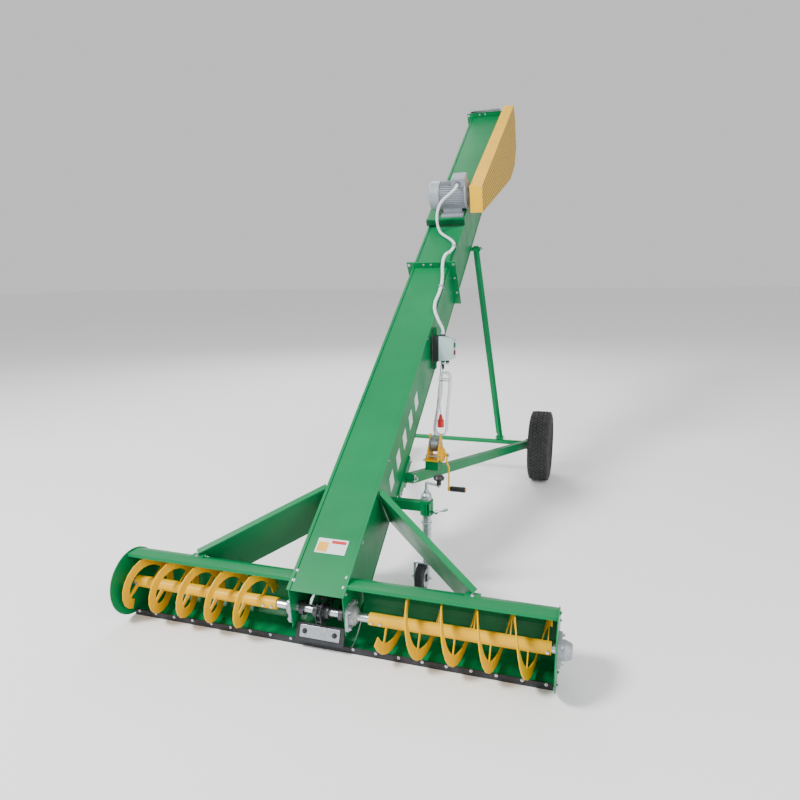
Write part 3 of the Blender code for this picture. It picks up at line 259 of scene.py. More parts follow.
class Shape:
    """Collects solids, given in one frame, into a single mesh piece."""

    def __init__(self, matrix):
        self.bm = bmesh.new()
        self.matrix = matrix

    def absorb(self, other):
        mesh = bpy.data.meshes.new("solid")
        other.to_mesh(mesh)
        other.free()
        self.bm.from_mesh(mesh)
        bpy.data.meshes.remove(mesh)

    def box(self, low, high):
        low, high = Vector(map(min, low, high)), Vector(map(max, low, high))
        made = bmesh.ops.create_cube(self.bm, size=1.0)["verts"]
        for vert in made:
            vert.co = (low + high) / 2 + Vector(a * b for a, b in zip(vert.co, high - low))

    def slab(self, middle, size, rotation):
        made = bmesh.ops.create_cube(self.bm, size=1.0)["verts"]
        for vert in made:
            vert.co = rotation @ Vector(a * b for a, b in zip(vert.co, size)) + Vector(middle)

    def rod(self, start, end, radius, segments=16, end_radius=None):
        start, end = Vector(start), Vector(end)
        span = end - start
        turned = span.to_track_quat("Z", "Y").to_matrix().to_4x4()
        bmesh.ops.create_cone(
            self.bm, cap_ends=True, segments=segments, radius1=radius,
            radius2=radius if end_radius is None else end_radius, depth=span.length,
            matrix=Matrix.Translation((start + end) / 2) @ turned)

    def turned(self, profile, centre, segments=32, axis="x"):
        rings = []
        for step in range(segments):
            angle = 2 * math.pi * step / segments
            ring = []
            for axial, radius in profile:
                a, b = radius * math.cos(angle), radius * math.sin(angle)
                local = (axial, a, b) if axis == "x" else (a, b, axial)
                ring.append(self.bm.verts.new(Vector(centre) + Vector(local)))
            rings.append(ring)
        for step in range(segments):
            here, there = rings[step], rings[(step + 1) % segments]
            for index in range(len(profile)):
                after = (index + 1) % len(profile)
                self.bm.faces.new([here[index], here[after], there[after], there[index]])

    def prism(self, points, step):
        face = self.bm.faces.new([self.bm.verts.new(p) for p in points])
        swept = bmesh.ops.extrude_face_region(self.bm, geom=[face])["geom"]
        tops = [item for item in swept if isinstance(item, bmesh.types.BMVert)]
        bmesh.ops.translate(self.bm, verts=tops, vec=step)

    def bolt(self, at, out, size=0.006, washer=True):
        """Hex head on a washer, standing out along a unit direction."""
        at, out = Vector(at), Vector(out).normalized()
        if washer:
            self.rod(at, at + out * size * 0.3, size * 1.7, 16)
        self.rod(at + out * size * 0.3, at + out * size * 1.15, size, 6)
        self.rod(at + out * size * 1.15, at + out * size * 1.6, size * 0.55, 10)

    def piece(self, name, material, body="frame", bevel=0.0, replaces=()):
        bmesh.ops.transform(self.bm, matrix=self.matrix, verts=self.bm.verts)
        bmesh.ops.recalc_face_normals(self.bm, faces=self.bm.faces)
        mesh = bpy.data.meshes.new(name)
        self.bm.to_mesh(mesh)
        self.bm.free()
        mesh.materials.append(material)
        mesh.shade_smooth()
        mesh.set_sharp_from_angle(angle=math.radians(32))
        obj = bpy.data.objects.new(name, mesh)
        bpy.context.scene.collection.objects.link(obj)
        if bevel:
            round_edges(obj, bevel)
        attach(obj, body)
        if replaces:
            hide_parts(*replaces)
        return obj


def round_edges(obj, width, segments=2):
    bevel = obj.modifiers.new("edge", "BEVEL")
    bevel.width = width
    bevel.segments = segments
    bevel.limit_method = "ANGLE"
    bevel.angle_limit = math.radians(35)
    bevel.harden_normals = True


def finish_node(name, material, bevel=0.0):
    obj = nodes[name]
    obj.data.materials.clear()
    obj.data.materials.append(material)
    if bevel:
        round_edges(obj, bevel)


for material, bevel, names in (
        (GREEN, 0.0012, ("lower_casing", "lower_cover", "upper_casing", "upper_cover", "motor_plate",
                         "left_brace", "right_brace", "starter_bracket")),
        (GREEN, 0.0012, ("left_trough", "right_trough")),
        (GREEN, 0.003, ("left_arm", "right_arm", "cross_tube", "left_strut", "right_strut",
                        "crosshead", "jack_bracket")),
        (YELLOW, 0.0006, ("left_screw", "right_screw")),
        (YELLOW, 0.002, ("guard_frame",)), (MESH, 0.0, ("guard_mesh",)),
        (YELLOW, 0.001, ("winch_frame", "winch_crank")),
        (ZINC, 0.0015, ("head_cap",)),
        (ZINC, 0.0008, ("winch_drum", "jack_tube", "jack_leg", "clamp_lever")),
        (CAST, 0.002, ("left_outer_bearing", "right_outer_bearing", "left_inner_bearing",
                       "right_inner_bearing", "left_head_bearing", "right_head_bearing")),
        (BRIGHT, 0.0008, ("tail_shaft", "head_shaft")), (STEEL, 0.0008, ("head_pulley", "motor_pulley")),
        (RUBBER, 0.001, ("drive_belt", "rubber_skirt", "jack_wheel")),
        (SILVER, 0.0015, ("left_rim", "right_rim")),
        (GREY, 0.002, ("motor_body", "terminal_box")),
        (STARTER, 0.003, ("starter_box",)), (BLACK, 0.002, ("starter_base",)),
        (PUSH, 0.0015, ("start_button",)), (RED, 0.0015, ("stop_button",)),
        (RED, 0.001, ("power_plug",)), (ROPE, 0.0, ("winch_rope",))):
    for node_name in names:
        finish_node(node_name, material, bevel)


# ---------------------------------------------------------------- cords
CABLE_R = 0.0045
HANK_STEP = 0.011
HANK_LOOPS = 6


def curve_tube(name, points, radius, material, body="frame"):
    data = bpy.data.curves.new(name, "CURVE")
    data.dimensions = "3D"
    data.bevel_depth = radius
    data.bevel_resolution = 4
    data.use_fill_caps = True
    spline = data.splines.new("POLY")
    spline.points.add(len(points) - 1)
    for target, point in zip(spline.points, points):
        target.co = (*point, 1.0)
    data.materials.append(material)
    obj = bpy.data.objects.new(name, data)
    bpy.context.scene.collection.objects.link(obj)
    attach(obj, body)
    return obj


def through(points, steps=4):
    """Catmull-Rom curve through the route's points."""
    points = [Vector(p) for p in points]
    padded = [2 * points[0] - points[1]] + points + [2 * points[-1] - points[-2]]
    path = []
    for i in range(1, len(padded) - 2):
        p0, p1, p2, p3 = padded[i - 1:i + 3]
        for step in range(steps):
            t = step / steps
            path.append(0.5 * (2 * p1 + (p2 - p0) * t + (2 * p0 - 5 * p1 + 4 * p2 - p3) * t * t
                               + (3 * p1 - p0 - 3 * p2 + p3) * t ** 3))
    path.append(points[-1])
    return path


def length_of(points):
    return sum((b - a).length for a, b in zip(points, points[1:]))


def hank_route():
    """Lead from the gland, hanging loops stepping forward, then the tail to the plug."""
    x0, y0 = START
    route = [(x0, y0, 1.1355), (x0, y0, 1.118), (0.213, y0, 1.100), (0.2095, y0, 1.078)]
    for loop in range(HANK_LOOPS):
        y = y0 - HANK_STEP * loop
        route += [(0.2085, y, 1.055), (0.208, y, 1.010), (0.2075, y, 0.960), (0.198, y, 0.895),
                  (0.182, y, 0.820), (0.169, y, 0.750), (0.165, y, 0.705), (0.1767, y, 0.6717),
                  (0.205, y, 0.660), (0.2333, y, 0.6717), (0.245, y, 0.705), (0.249, y, 0.780),
                  (0.2565, y, 0.880), (0.266, y, 0.980), (0.2705, y, 1.050)]
        for step in range(1, 6):
            angle = math.pi * step / 6
            route.append((0.2395 + 0.031 * math.cos(angle), y - HANK_STEP * step / 6,
                          1.055 + 0.031 * math.sin(angle)))
    y = y0 - HANK_STEP * HANK_LOOPS
    route += [(0.2085, y, 1.055), (0.2085, y, 1.000), (0.2090, y, 0.940), (0.2110, y, 0.880),
              (0.2135, y, 0.840), (0.2150, y, 0.8140)]
    return [on_ground(*p) for p in route]


cable_path = through(hank_route(), 3)
cable = curve_tube("mains_cable_hank", cable_path, CABLE_R, WHITE)
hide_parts("power_cable", "power_cable_hank")

CONDUIT_ROUTE = [
    (0.110, 3.1814, 0.305), (0.110, 3.168, 0.305), (0.098, 3.135, 0.296), (0.055, 3.105, 0.270),
    (0.005, 3.095, 0.232), (-0.030, 3.085, 0.180), (-0.046, 3.065, 0.120), (-0.044, 3.040, 0.060),
    (-0.018, 2.995, 0.025), (0.030, 2.945, 0.018), (0.073, 2.905, 0.018), (0.112, 2.850, 0.019),
    (0.124, 2.800, 0.020), (0.112, 2.720, 0.028), (0.098, 2.645, 0.055), (0.096, 2.563, 0.064),
    (0.102, 2.490, 0.050), (0.116, 2.400, 0.023), (0.126, 2.300, 0.019), (0.126, 2.220, 0.019),
    (0.122, 2.120, 0.020), (0.140, 2.030, 0.022), (0.176, 1.955, 0.006)]


CONDUIT_RIB = 0.0042


def corrugated_conduit():
    """Ribbed tube along the conduit's route."""
    route = [on_casing(*p) for p in CONDUIT_ROUTE]
    route += [on_ground(x, START[1], z) for x, z in ((0.208, 1.375), (0.215, 1.352), (0.215, 1.339))]
    path = through(route, 10)
    total = length_of(path)
    count = int(total / CONDUIT_RIB) * 2
    samples = []
    reach = 0.0
    index = 0
    for step in range(count + 1):
        target = total * step / count
        while index < len(path) - 2 and reach + (path[index + 1] - path[index]).length < target:
            reach += (path[index + 1] - path[index]).length
            index += 1
        edge = path[index + 1] - path[index]
        samples.append((path[index] + edge.normalized() * min(target - reach, edge.length),
                        edge.normalized()))
    shape = Shape(Matrix.Identity(4))
    across = Vector((0, 0, 1)).cross(samples[0][1]).normalized()
    rings = []
    for step, (point, along) in enumerate(samples):
        across = (across - along * across.dot(along)).normalized()
        up = along.cross(across)
        radius = 0.0111 if step % 2 else 0.0092
        rings.append([shape.bm.verts.new(point + (across * math.cos(a) + up * math.sin(a)) * radius)
                      for a in (2 * math.pi * k / 10 for k in range(10))])
    for here, there in zip(rings, rings[1:]):
        for k in range(10):
            shape.bm.faces.new([here[k], here[(k + 1) % 10], there[(k + 1) % 10], there[k]])
    shape.bm.faces.new(rings[0])
    shape.bm.faces.new(rings[-1])
    shape.piece("corrugated_conduit", WHITE, replaces=("conduit",))


corrugated_conduit()


# ---------------------------------------------------------------- bolts on the casing
COVER_SIDE_X = 0.1362              # outer face of the cover's folded edge


def casing_bolts():
    shape = Shape(CASING)
    for s in (S_JOINT - 0.0062, S_HEAD - 0.0062):
        for x in (-0.165, -0.055, 0.0, 0.165):
            shape.bolt((x, s, 0.026), (0, -1, 0), 0.0055)
        for side in (-1, 1):
            for h in (-0.09, -0.22):
                shape.bolt((side * 0.160, s, h), (0, -1, 0), 0.0055)
    for side in (-1, 1):
        for s in (0.30, 0.80, 1.30, 1.80, 2.30, 2.90, 3.60, 4.20, 4.70):
            shape.bolt((side * COVER_SIDE_X, s, -0.020), (side, 0, 0), 0.0050)
        for s, h in ((0.03, -0.020), (0.06, -0.020), (0.02, -0.100)):
            shape.bolt((side * COVER_SIDE_X, s, h), (side, 0, 0), 0.0055)
        for s in (0.80, 1.04):
            shape.bolt((side * 0.1446, s, -0.324), (side, 0, 0), 0.008)
        for s in (0.05, 0.10):
            shape.bolt((side * 0.1260, s, 0.0005), (0, 0, 1), 0.0050)
    shape.piece("casing_bolts", BRIGHT)


def bearing_bolts():
    shape = Shape(GROUND)
    for side in (-1, 1):
        for base in (1.0715, 0.1365):
            for dy in (-0.043, 0.043):
                for dz in (-0.043, 0.043):
                    shape.bolt((side * (base + 0.0132), dy, SHAFT_Z + dz), (side, 0, 0), 0.0075)
    shape.piece("bearing_bolts", BRIGHT)
    grease = Shape(GROUND)
    for side in (-1, 1):
        for x in (1.092, 0.158):
            grease.rod((side * x, -0.040, SHAFT_Z + 0.020), (side * x, -0.056, SHAFT_Z + 0.028), 0.004, 10)
    grease.piece("grease_nipples", BRIGHT)
    head = Shape(CASING)
    for side in (-1, 1):
        for ds in (-0.043, 0.043):
            for dh in (-0.043, 0.043):
                head.bolt((side * 0.1517, S_HEAD_SHAFT + ds, SHAFT_H + dh), (side, 0, 0), 0.0075)
    head.piece("head_bearing_bolts", BRIGHT)


SKIRT_X = (-1.03, -0.93, -0.82, -0.71, -0.60, -0.49, -0.38, -0.27, -0.16, 0.16, 0.27, 0.38,
           0.49, 0.60, 0.71, 0.82, 0.93, 1.03)


def intake_details():
    skirt = Shape(GROUND)
    for x in SKIRT_X:
        skirt.bolt((x, -0.0285, 0.0235), (0, -1, 0), 0.0042)
    skirt.piece("skirt_bolts", BRIGHT)
    tabs = Shape(GROUND)
    for side in (-1, 1):
        tabs.box((side * 0.665, 0.020, 0.3402), (side * 0.735, 0.068, 0.3440))
        tabs.box((side * 0.665, 0.064, 0.3000), (side * 0.669, 0.068, 0.3440))
    tabs.piece("brace_tabs", GREEN, bevel=0.0012)
    bolts = Shape(GROUND)
    for side in (-1, 1):
        bolts.bolt((side * 0.700, 0.036, 0.3442), (0, 0, 1), 0.0060)
    bolts.piece("brace_tab_bolts", BRIGHT)
    plates = Shape(GROUND)
    for side in (-1, 1):
        for degree in range(-100, 81, 30):
            angle = math.radians(degree)
            plates.bolt((side * 1.0712, 0.150 * math.cos(angle), SHAFT_Z + 0.150 * math.sin(angle)),
                        (side, 0, 0), 0.0045)
    plates.piece("end_plate_bolts", GREEN)


def screw_details():
    for side, word in ((-1, "left"), (1, "right")):
        shape = Shape(GROUND)
        for x in (0.252, 0.296, 1.030):
            shape.rod((side * x, -0.040, SHAFT_Z), (side * x, 0.040, SHAFT_Z), 0.0055, 12)
            shape.bolt((side * x, -0.0290, SHAFT_Z), (0, -1, 0), 0.0075, washer=False)
        shape.piece(word + "_screw_pins", BRIGHT, "intake_screws")
        rings = Shape(GROUND)
        collar = [(-0.012, 0.0206), (0.012, 0.0206), (0.012, 0.0330), (-0.012, 0.0330)]
        rings.turned(collar, (side * 0.100, 0, SHAFT_Z), 28)
        rings.piece(word + "_shaft_collars", STEEL, "intake_screws", bevel=0.0015)


# ---------------------------------------------------------------- chain and flights
CHAIN_TURN_R = 0.052
CHAIN_LINK = 0.040
FLIGHTS = 12
FLIGHT_STEP = 0.35


def detailed_chain():
    """Roller links round the tail and head wheels, with a flight every few links."""
    radius = CHAIN_TURN_R
    straight = S_HEAD_SHAFT - SHAFT_S
    loop = 2 * straight + 2 * math.pi * radius
    count = int(loop / CHAIN_LINK)
    pitch = loop / count

    def at(distance):
        distance %= loop
        if distance < straight:
            return Vector((0, SHAFT_S + distance, SHAFT_H - radius))
        distance -= straight
        if distance < math.pi * radius:
            angle = -math.pi / 2 + distance / radius
            return Vector((0, S_HEAD_SHAFT + radius * math.cos(angle), SHAFT_H + radius * math.sin(angle)))
        distance -= math.pi * radius
        if distance < straight:
            return Vector((0, S_HEAD_SHAFT - distance, SHAFT_H + radius))
        angle = math.pi / 2 + (distance - straight) / radius
        return Vector((0, SHAFT_S + radius * math.cos(angle), SHAFT_H + radius * math.sin(angle)))

    shape = Shape(CASING)
    for index in range(count):
        first, second = at(index * pitch), at((index + 1) * pitch)
        along = (second - first).normalized()
        rotation = facing(along)
        offset = 0.0125 if index % 2 else 0.0092
        for side in (-1, 1):
            shape.slab((first + second) / 2 + Vector((side * offset, 0, 0)),
                       (0.0028, pitch + 0.014, 0.017), rotation)
        shape.rod(first - Vector((0.0150, 0, 0)), first + Vector((0.0150, 0, 0)), 0.0055, 8)
    for index in range(FLIGHTS):
        s = 0.24 + index * FLIGHT_STEP
        for sign in (-1, 1):
            shape.box((-0.122, s, SHAFT_H + sign * 0.060), (0.122, s + 0.012, SHAFT_H + sign * 0.139))
    shape.piece("roller_chain", STEEL, replaces=("drag_chain",))
    teeth = Shape(GROUND)
    teeth.turned([(-0.040, 0.0203), (0.040, 0.0203), (0.040, 0.0340), (0.006, 0.0340),
                  (0.006, 0.0400), (-0.006, 0.0400), (-0.006, 0.0340), (-0.040, 0.0340)],
                 (0, 0, SHAFT_Z), 28)
    for step in range(8):
        angle = 2 * math.pi * (step + 0.5) / 8
        along = Vector((0, math.cos(angle), math.sin(angle)))
        teeth.rod(Vector((0, 0, SHAFT_Z)) + along * 0.036, Vector((0, 0, SHAFT_Z)) + along * 0.0475,
                  0.0065, 8, 0.0035)
    teeth.piece("toothed_sprocket", STEEL, "intake_screws", bevel=0.0006, replaces=("tail_sprocket",))


def tail_flight():
    """Rubber flight at the tail, its galvanised clamp plate and two bolts."""
    angle = math.radians(-110.8)
    along = Vector((0, math.cos(angle), math.sin(angle)))
    face = Vector((0, -along.z, along.y))
    axis = Vector((0, 0, SHAFT_Z))
    rotation = facing(along)
    rubber = Shape(GROUND)
    rubber.slab(axis + along * 0.1067, (0.244, 0.0866, 0.0118), rotation)
    rubber.piece("tail_flight_rubber", RUBBER, bevel=0.0012, replaces=("intake_flight",))
    plate = Shape(GROUND)
    plate.slab(axis + along * 0.100 - face * 0.0082, (0.200, 0.056, 0.0040), rotation)
    plate.piece("tail_flight_plate", BRIGHT, bevel=0.0015)
    bolts = Shape(GROUND)
    for x in (-0.075, 0.075):
        bolts.bolt(axis + along * 0.100 - face * 0.0103 + Vector((x, 0, 0)), -face, 0.0075)
    bolts.piece("tail_flight_bolts", STEEL)


# ---------------------------------------------------------------- drive details
MOTOR_FINS = 40


def motor_details():
    shape = Shape(CASING)
    for index in range(MOTOR_FINS):
        angle = 2 * math.pi * index / MOTOR_FINS
        if math.sin(angle) < -0.80:
            continue
        out = Vector((0, math.cos(angle), math.sin(angle)))
        rotation = facing(out)
        shape.slab(Vector((MOTOR_X + 0.036, MOTOR_S, MOTOR_H)) + out * 0.1000,
                   (0.190, 0.0120, 0.0026), rotation)
    shape.piece("motor_fins", GREY)
    cowl = Shape(CASING)
    for radius in (0.030, 0.048, 0.066, 0.084):
        cowl.turned([(-0.1486, radius - 0.003), (-0.1460, radius - 0.003), (-0.1460, radius + 0.003),
                     (-0.1486, radius + 0.003)], (MOTOR_X, MOTOR_S, MOTOR_H), 36)
    cowl.turned([(-0.066, 0.1051), (-0.060, 0.1051), (-0.060, 0.1085), (-0.066, 0.1085)],
                (MOTOR_X, MOTOR_S, MOTOR_H), 40)
    cowl.turned([(0.136, 0.0921), (0.146, 0.0921), (0.146, 0.1080), (0.136, 0.1080)],
                (MOTOR_X, MOTOR_S, MOTOR_H), 40)
    cowl.piece("motor_cowl_rings", GREY)
    bolts = Shape(CASING)
    for side in (-1, 1):
        for x in (-0.018, 0.117):
            bolts.bolt((x, MOTOR_S + side * 0.098, MOTOR_H - 0.1125), (0, 0, 1), 0.0065)
        for x in (0.074, 0.156):
            bolts.bolt((x, MOTOR_S - 0.005 + side * 0.040, MOTOR_H + 0.1552), (0, 0, 1), 0.0038, False)
    for step in range(4):
        angle = math.radians(45 + 90 * step)
        bolts.bolt((MOTOR_X + 0.1502, MOTOR_S + 0.082 * math.cos(angle), MOTOR_H + 0.082 * math.sin(angle)),
                   (1, 0, 0), 0.0048, False)
    bolts.piece("motor_bolts", BRIGHT)
    lid = Shape(CASING)
    lid.box((0.0625, MOTOR_S - 0.0565, MOTOR_H + 0.144), (0.1675, MOTOR_S + 0.0465, MOTOR_H + 0.150))
    lid.piece("terminal_box_lid", GREY, bevel=0.002)
    nut = Shape(CASING)
    nut.rod((0.110, MOTOR_S - 0.056, MOTOR_H + 0.117), (0.110, MOTOR_S - 0.066, MOTOR_H + 0.117), 0.0195, 6)
    nut.piece("terminal_gland_nut", BLACK, bevel=0.001)
    # Front lip of the motor plate, given the darker green as painted shade on its shadowed face.
    bars = Shape(CASING)
    bars.box((-0.153, 3.108, 0.018), (0.153, 3.114, 0.058))
    bars.piece("motor_front_bar", GREEN_PAINTED_SHADE, bevel=0.001)


def guard_details():
    screws = Shape(CASING)
    for s, h in ((3.168, 0.112), (3.212, 0.262), (3.70, 0.217), (4.25, 0.168), (4.80, 0.120),
                 (5.095, 0.094), (5.140, -0.050), (5.117, -0.300), (4.950, -0.402), (4.655, -0.386),
                 (4.15, -0.219), (3.65, -0.052)):
        screws.bolt((0.2932, s, h), (1, 0, 0), 0.0050)
    screws.piece("guard_screws", BRIGHT)
    brackets = Shape(CASING)
    for s, h in ((3.55, -0.025), (4.60, -0.070)):
        brackets.box((0.1385, s, h - 0.005), (0.1997, s + 0.040, h))
        brackets.box((0.1385, s, h - 0.055), (0.1425, s + 0.040, h))
    brackets.piece("guard_brackets", GREEN, bevel=0.001)


# ---------------------------------------------------------------- electrics details
def starter_details():
    x, y = START
    label = Shape(GROUND)
    label.box((0.2902, y - 0.030, 1.186), (0.2908, y + 0.030, 1.196))
    label.piece("starter_blank_label", LABEL)
    rings = Shape(GROUND)
    for z in (1.262, 1.214):
        rings.turned([(0.0, 0.0128), (0.004, 0.0128), (0.004, 0.0165), (0.0, 0.0175)], (0.2901, y, z), 24)
    rings.piece("button_rings", BLACK)
    screws = Shape(GROUND)
    for dy in (-0.033, 0.033):
        for z in (1.188, 1.292):
            screws.rod((0.2895, y + dy, z), (0.2915, y + dy, z), 0.0042, 12)
    for z in (1.108, 1.360):
        screws.bolt((0.1468, y + 0.030, z), (1, 0, 0), 0.0055)
    screws.piece("starter_screws", BRIGHT)
    glands = Shape(GROUND)
    for gx in (0.215, 0.245):
        glands.rod((gx, y, 1.160), (gx, y, 1.148), 0.0140, 6)
    glands.rod((0.215, y, 1.320), (0.215, y, 1.332), 0.0190, 6)
    glands.piece("starter_gland_nuts", BLACK, bevel=0.001)
    relief = Shape(GROUND)
    relief.turned([(0.0, 0.0047), (0.0, 0.0095), (-0.020, 0.0085), (-0.034, 0.0062), (-0.034, 0.0047)],
                  (x, y, 1.1355), 16, "z")
    relief.piece("cable_strain_relief", BLACK)
    ties = Shape(GROUND)
    band = [(0.2025, 1.5062), (0.2720, 1.5062), (0.2720, 1.4300), (0.2025, 1.4300)]
    inner = [(0.2040, 1.5050), (0.2705, 1.5050), (0.2705, 1.4312), (0.2040, 1.4312)]
    for a in range(4):
        b = (a + 1) % 4
        ties.prism([(*band[a], 1.035), (*band[b], 1.035), (*inner[b], 1.035), (*inner[a], 1.035)],
                   (0, 0, 0.005))
    ties.piece("hank_tie", BLACK)
    clips = Shape(CASING)
    for cx, s in ((0.124, 2.800), (0.126, 2.300)):
        clips.box((cx - 0.024, s - 0.008, 0.0002), (cx + 0.0155, s + 0.008, 0.0030))
        clips.box((cx - 0.0150, s - 0.008, 0.0313), (cx + 0.0150, s + 0.008, 0.0335))
        for side in (-1, 1):
            clips.box((cx + side * 0.0132, s - 0.008, 0.0002), (cx + side * 0.0155, s + 0.008, 0.0330))
    clips.piece("conduit_clips", GREY, bevel=0.0006)


def plain_marks():
    """Plain blocks where the machine carries its painted mark and its sticker."""
    marks = Shape(CASING)
    for index in range(5):
        s = 0.72 + 0.150 * index
        marks.prism([(0.1363, s, -0.195), (0.1363, s + 0.070, -0.195), (0.1363, s + 0.096, -0.110),
                     (0.1363, s + 0.026, -0.110)], (0.0006, 0, 0))
    marks.piece("side_mark_blocks", LABEL)
    sticker = Shape(CASING)
    sticker.box((-0.078, 0.207, 0.0003), (0.078, 0.286, 0.0008))
    sticker.piece("cover_sticker", LABEL)
    corner = Shape(CASING)
    corner.box((-0.070, 0.214, 0.0008), (-0.018, 0.266, 0.0012))
    corner.piece("cover_sticker_block", AMBER)
    bar = Shape(CASING)
    bar.box((-0.005, 0.262, 0.0008), (0.070, 0.278, 0.0012))
    bar.piece("cover_sticker_bar", RED)


# ---------------------------------------------------------------- wheels
TREAD_BLOCKS = 56


def tread_tyre(word, side):
    """Carcass with shoulder, grooves and rows of tread blocks."""
    half = 0.0875
    groove = WHEEL_R - 0.007
    centre = (side * WHEEL_X, WHEEL_Y, WHEEL_R)
    shape = Shape(GROUND)
    profile = [(-0.054, 0.1653), (0.054, 0.1653), (0.070, 0.172), (0.080, 0.190), (half, 0.222),
               (0.0835, 0.262), (0.074, 0.276), (0.060, groove), (-0.060, groove), (-0.074, 0.276),
               (-0.0835, 0.262), (-half, 0.222), (-0.080, 0.190), (-0.070, 0.172)]
    shape.turned(profile, centre, 64)
    rows = ((-0.061, 0.022, 0.0), (-0.034, 0.020, 0.5), (-0.0095, 0.015, 0.0), (0.0095, 0.015, 0.5),
            (0.034, 0.020, 0.0), (0.061, 0.022, 0.5))
    for row, (x, width, shift) in enumerate(rows):
        for step in range(TREAD_BLOCKS):
            angle = 2 * math.pi * (step + shift) / TREAD_BLOCKS
            out = Vector((0, math.cos(angle), math.sin(angle)))
            lean = Matrix.Rotation(0.35 if row % 2 else -0.35, 3, out)
            rotation = lean @ facing(out)
            drop = 0.0022 if row in (0, 5) else 0.0
            shape.slab(Vector(centre) + out * (WHEEL_R - 0.0055 - drop) + Vector((x, 0, 0)),
                       (width, 0.0088, 0.0235), rotation)
    for side_face in (-1, 1):
        for radius in (0.196, 0.244):
            a = side_face * 0.0795
            b = side_face * (0.0862 if radius < 0.2 else 0.0868)
            shape.turned([(a, radius), (b, radius), (b, radius + 0.004), (a, radius + 0.004)], centre, 64)
    shape.piece(word + "_tread_tyre", TREAD, word + "_wheel", replaces=(word + "_tyre",))
    hub = Shape(GROUND)
    for step in range(5):
        angle = 2 * math.pi * step / 5
        at = (side * (WHEEL_X + 0.034), WHEEL_Y + 0.072 * math.cos(angle),
              WHEEL_R + 0.072 * math.sin(angle))
        hub.bolt(at, (side, 0, 0), 0.009)
    hub.rod((side * (WHEEL_X + 0.046), WHEEL_Y, WHEEL_R), (side * (WHEEL_X + 0.072), WHEEL_Y, WHEEL_R),
            0.032, 28, 0.026)
    hub.piece(word + "_wheel_nuts", BRIGHT, word + "_wheel", bevel=0.001)
    # Black discs on the rim: painted shade standing for the vent holes, not cut openings.
    vents = Shape(GROUND)
    for step in range(10):
        angle = 2 * math.pi * (step + 0.5) / 10
        at = Vector((side * (WHEEL_X + 0.0262), WHEEL_Y + 0.122 * math.cos(angle),
                     WHEEL_R + 0.122 * math.sin(angle)))
        vents.rod(at, at + Vector((side * 0.0032, 0, 0)), 0.013, 18)
    vents.piece(word + "_rim_vents", BLACK, word + "_wheel")


# ---------------------------------------------------------------- winch and jack
def winch_details():
    x, y, z = WINCH
    coils = Shape(GROUND)
    for layer, radius in ((0, 0.0338), (1, 0.0389)):
        for index in range(7 - layer):
            at = x - 0.0195 + 0.0062 * index + 0.0031 * layer
            ring = [(at - x + 0.0029 * math.cos(t), radius + 0.0029 * math.sin(t))
                    for t in (2 * math.pi * k / 8 for k in range(8))]
            coils.turned(ring, (x, y, z), 28)
    coils.piece("rope_wraps", ROPE, "drum")
    rods = Shape(GROUND)
    for dy, dz in ((-0.068, 0.644), (0.048, 0.644), (-0.002, 0.755)):
        rods.rod((x - 0.0370, y + dy, dz), (x + 0.0370, y + dy, dz), 0.0050, 12)
        for out, at in ((-1, x - 0.0342), (1, x + 0.0332)):
            rods.bolt((at, y + dy, dz), (out, 0, 0), 0.0075, washer=False)
    rods.rod((x + 0.0320, y, z), (x + 0.0400, y, z), 0.013, 6)
    for dy in (-0.050, 0.042):
        for dx in (-0.044, 0.020):
            rods.bolt((x + dx, y + dy, 0.6212), (0, 0, 1), 0.0065)
    rods.piece("winch_tie_rods", BRIGHT, "undercarriage")
    gear = Shape(GROUND)
    gear.turned([(0.0, 0.0362), (0.0, 0.0465), (0.012, 0.0455), (0.016, 0.0400), (0.016, 0.0362)],
                (x + 0.0335, y, CRANK_Z), 36)
    gear.piece("winch_gear_cover_rim", YELLOW, "undercarriage")
    grip = Shape(GROUND)
    grip.turned([(0.0, 0.0132), (0.0, 0.0160), (0.012, 0.0175), (0.050, 0.0165), (0.086, 0.0175),
                 (0.0935, 0.0150), (0.0935, 0.0132)], (0.354, y, 0.424), 20)
    grip.piece("winch_grip", BLACK, "crank")
    nut = Shape(GROUND)
    nut.rod((0.3345, y, CRANK_Z), (0.3440, y, CRANK_Z), 0.012, 6)
    nut.piece("winch_crank_nut", BRIGHT, "crank", bevel=0.001)


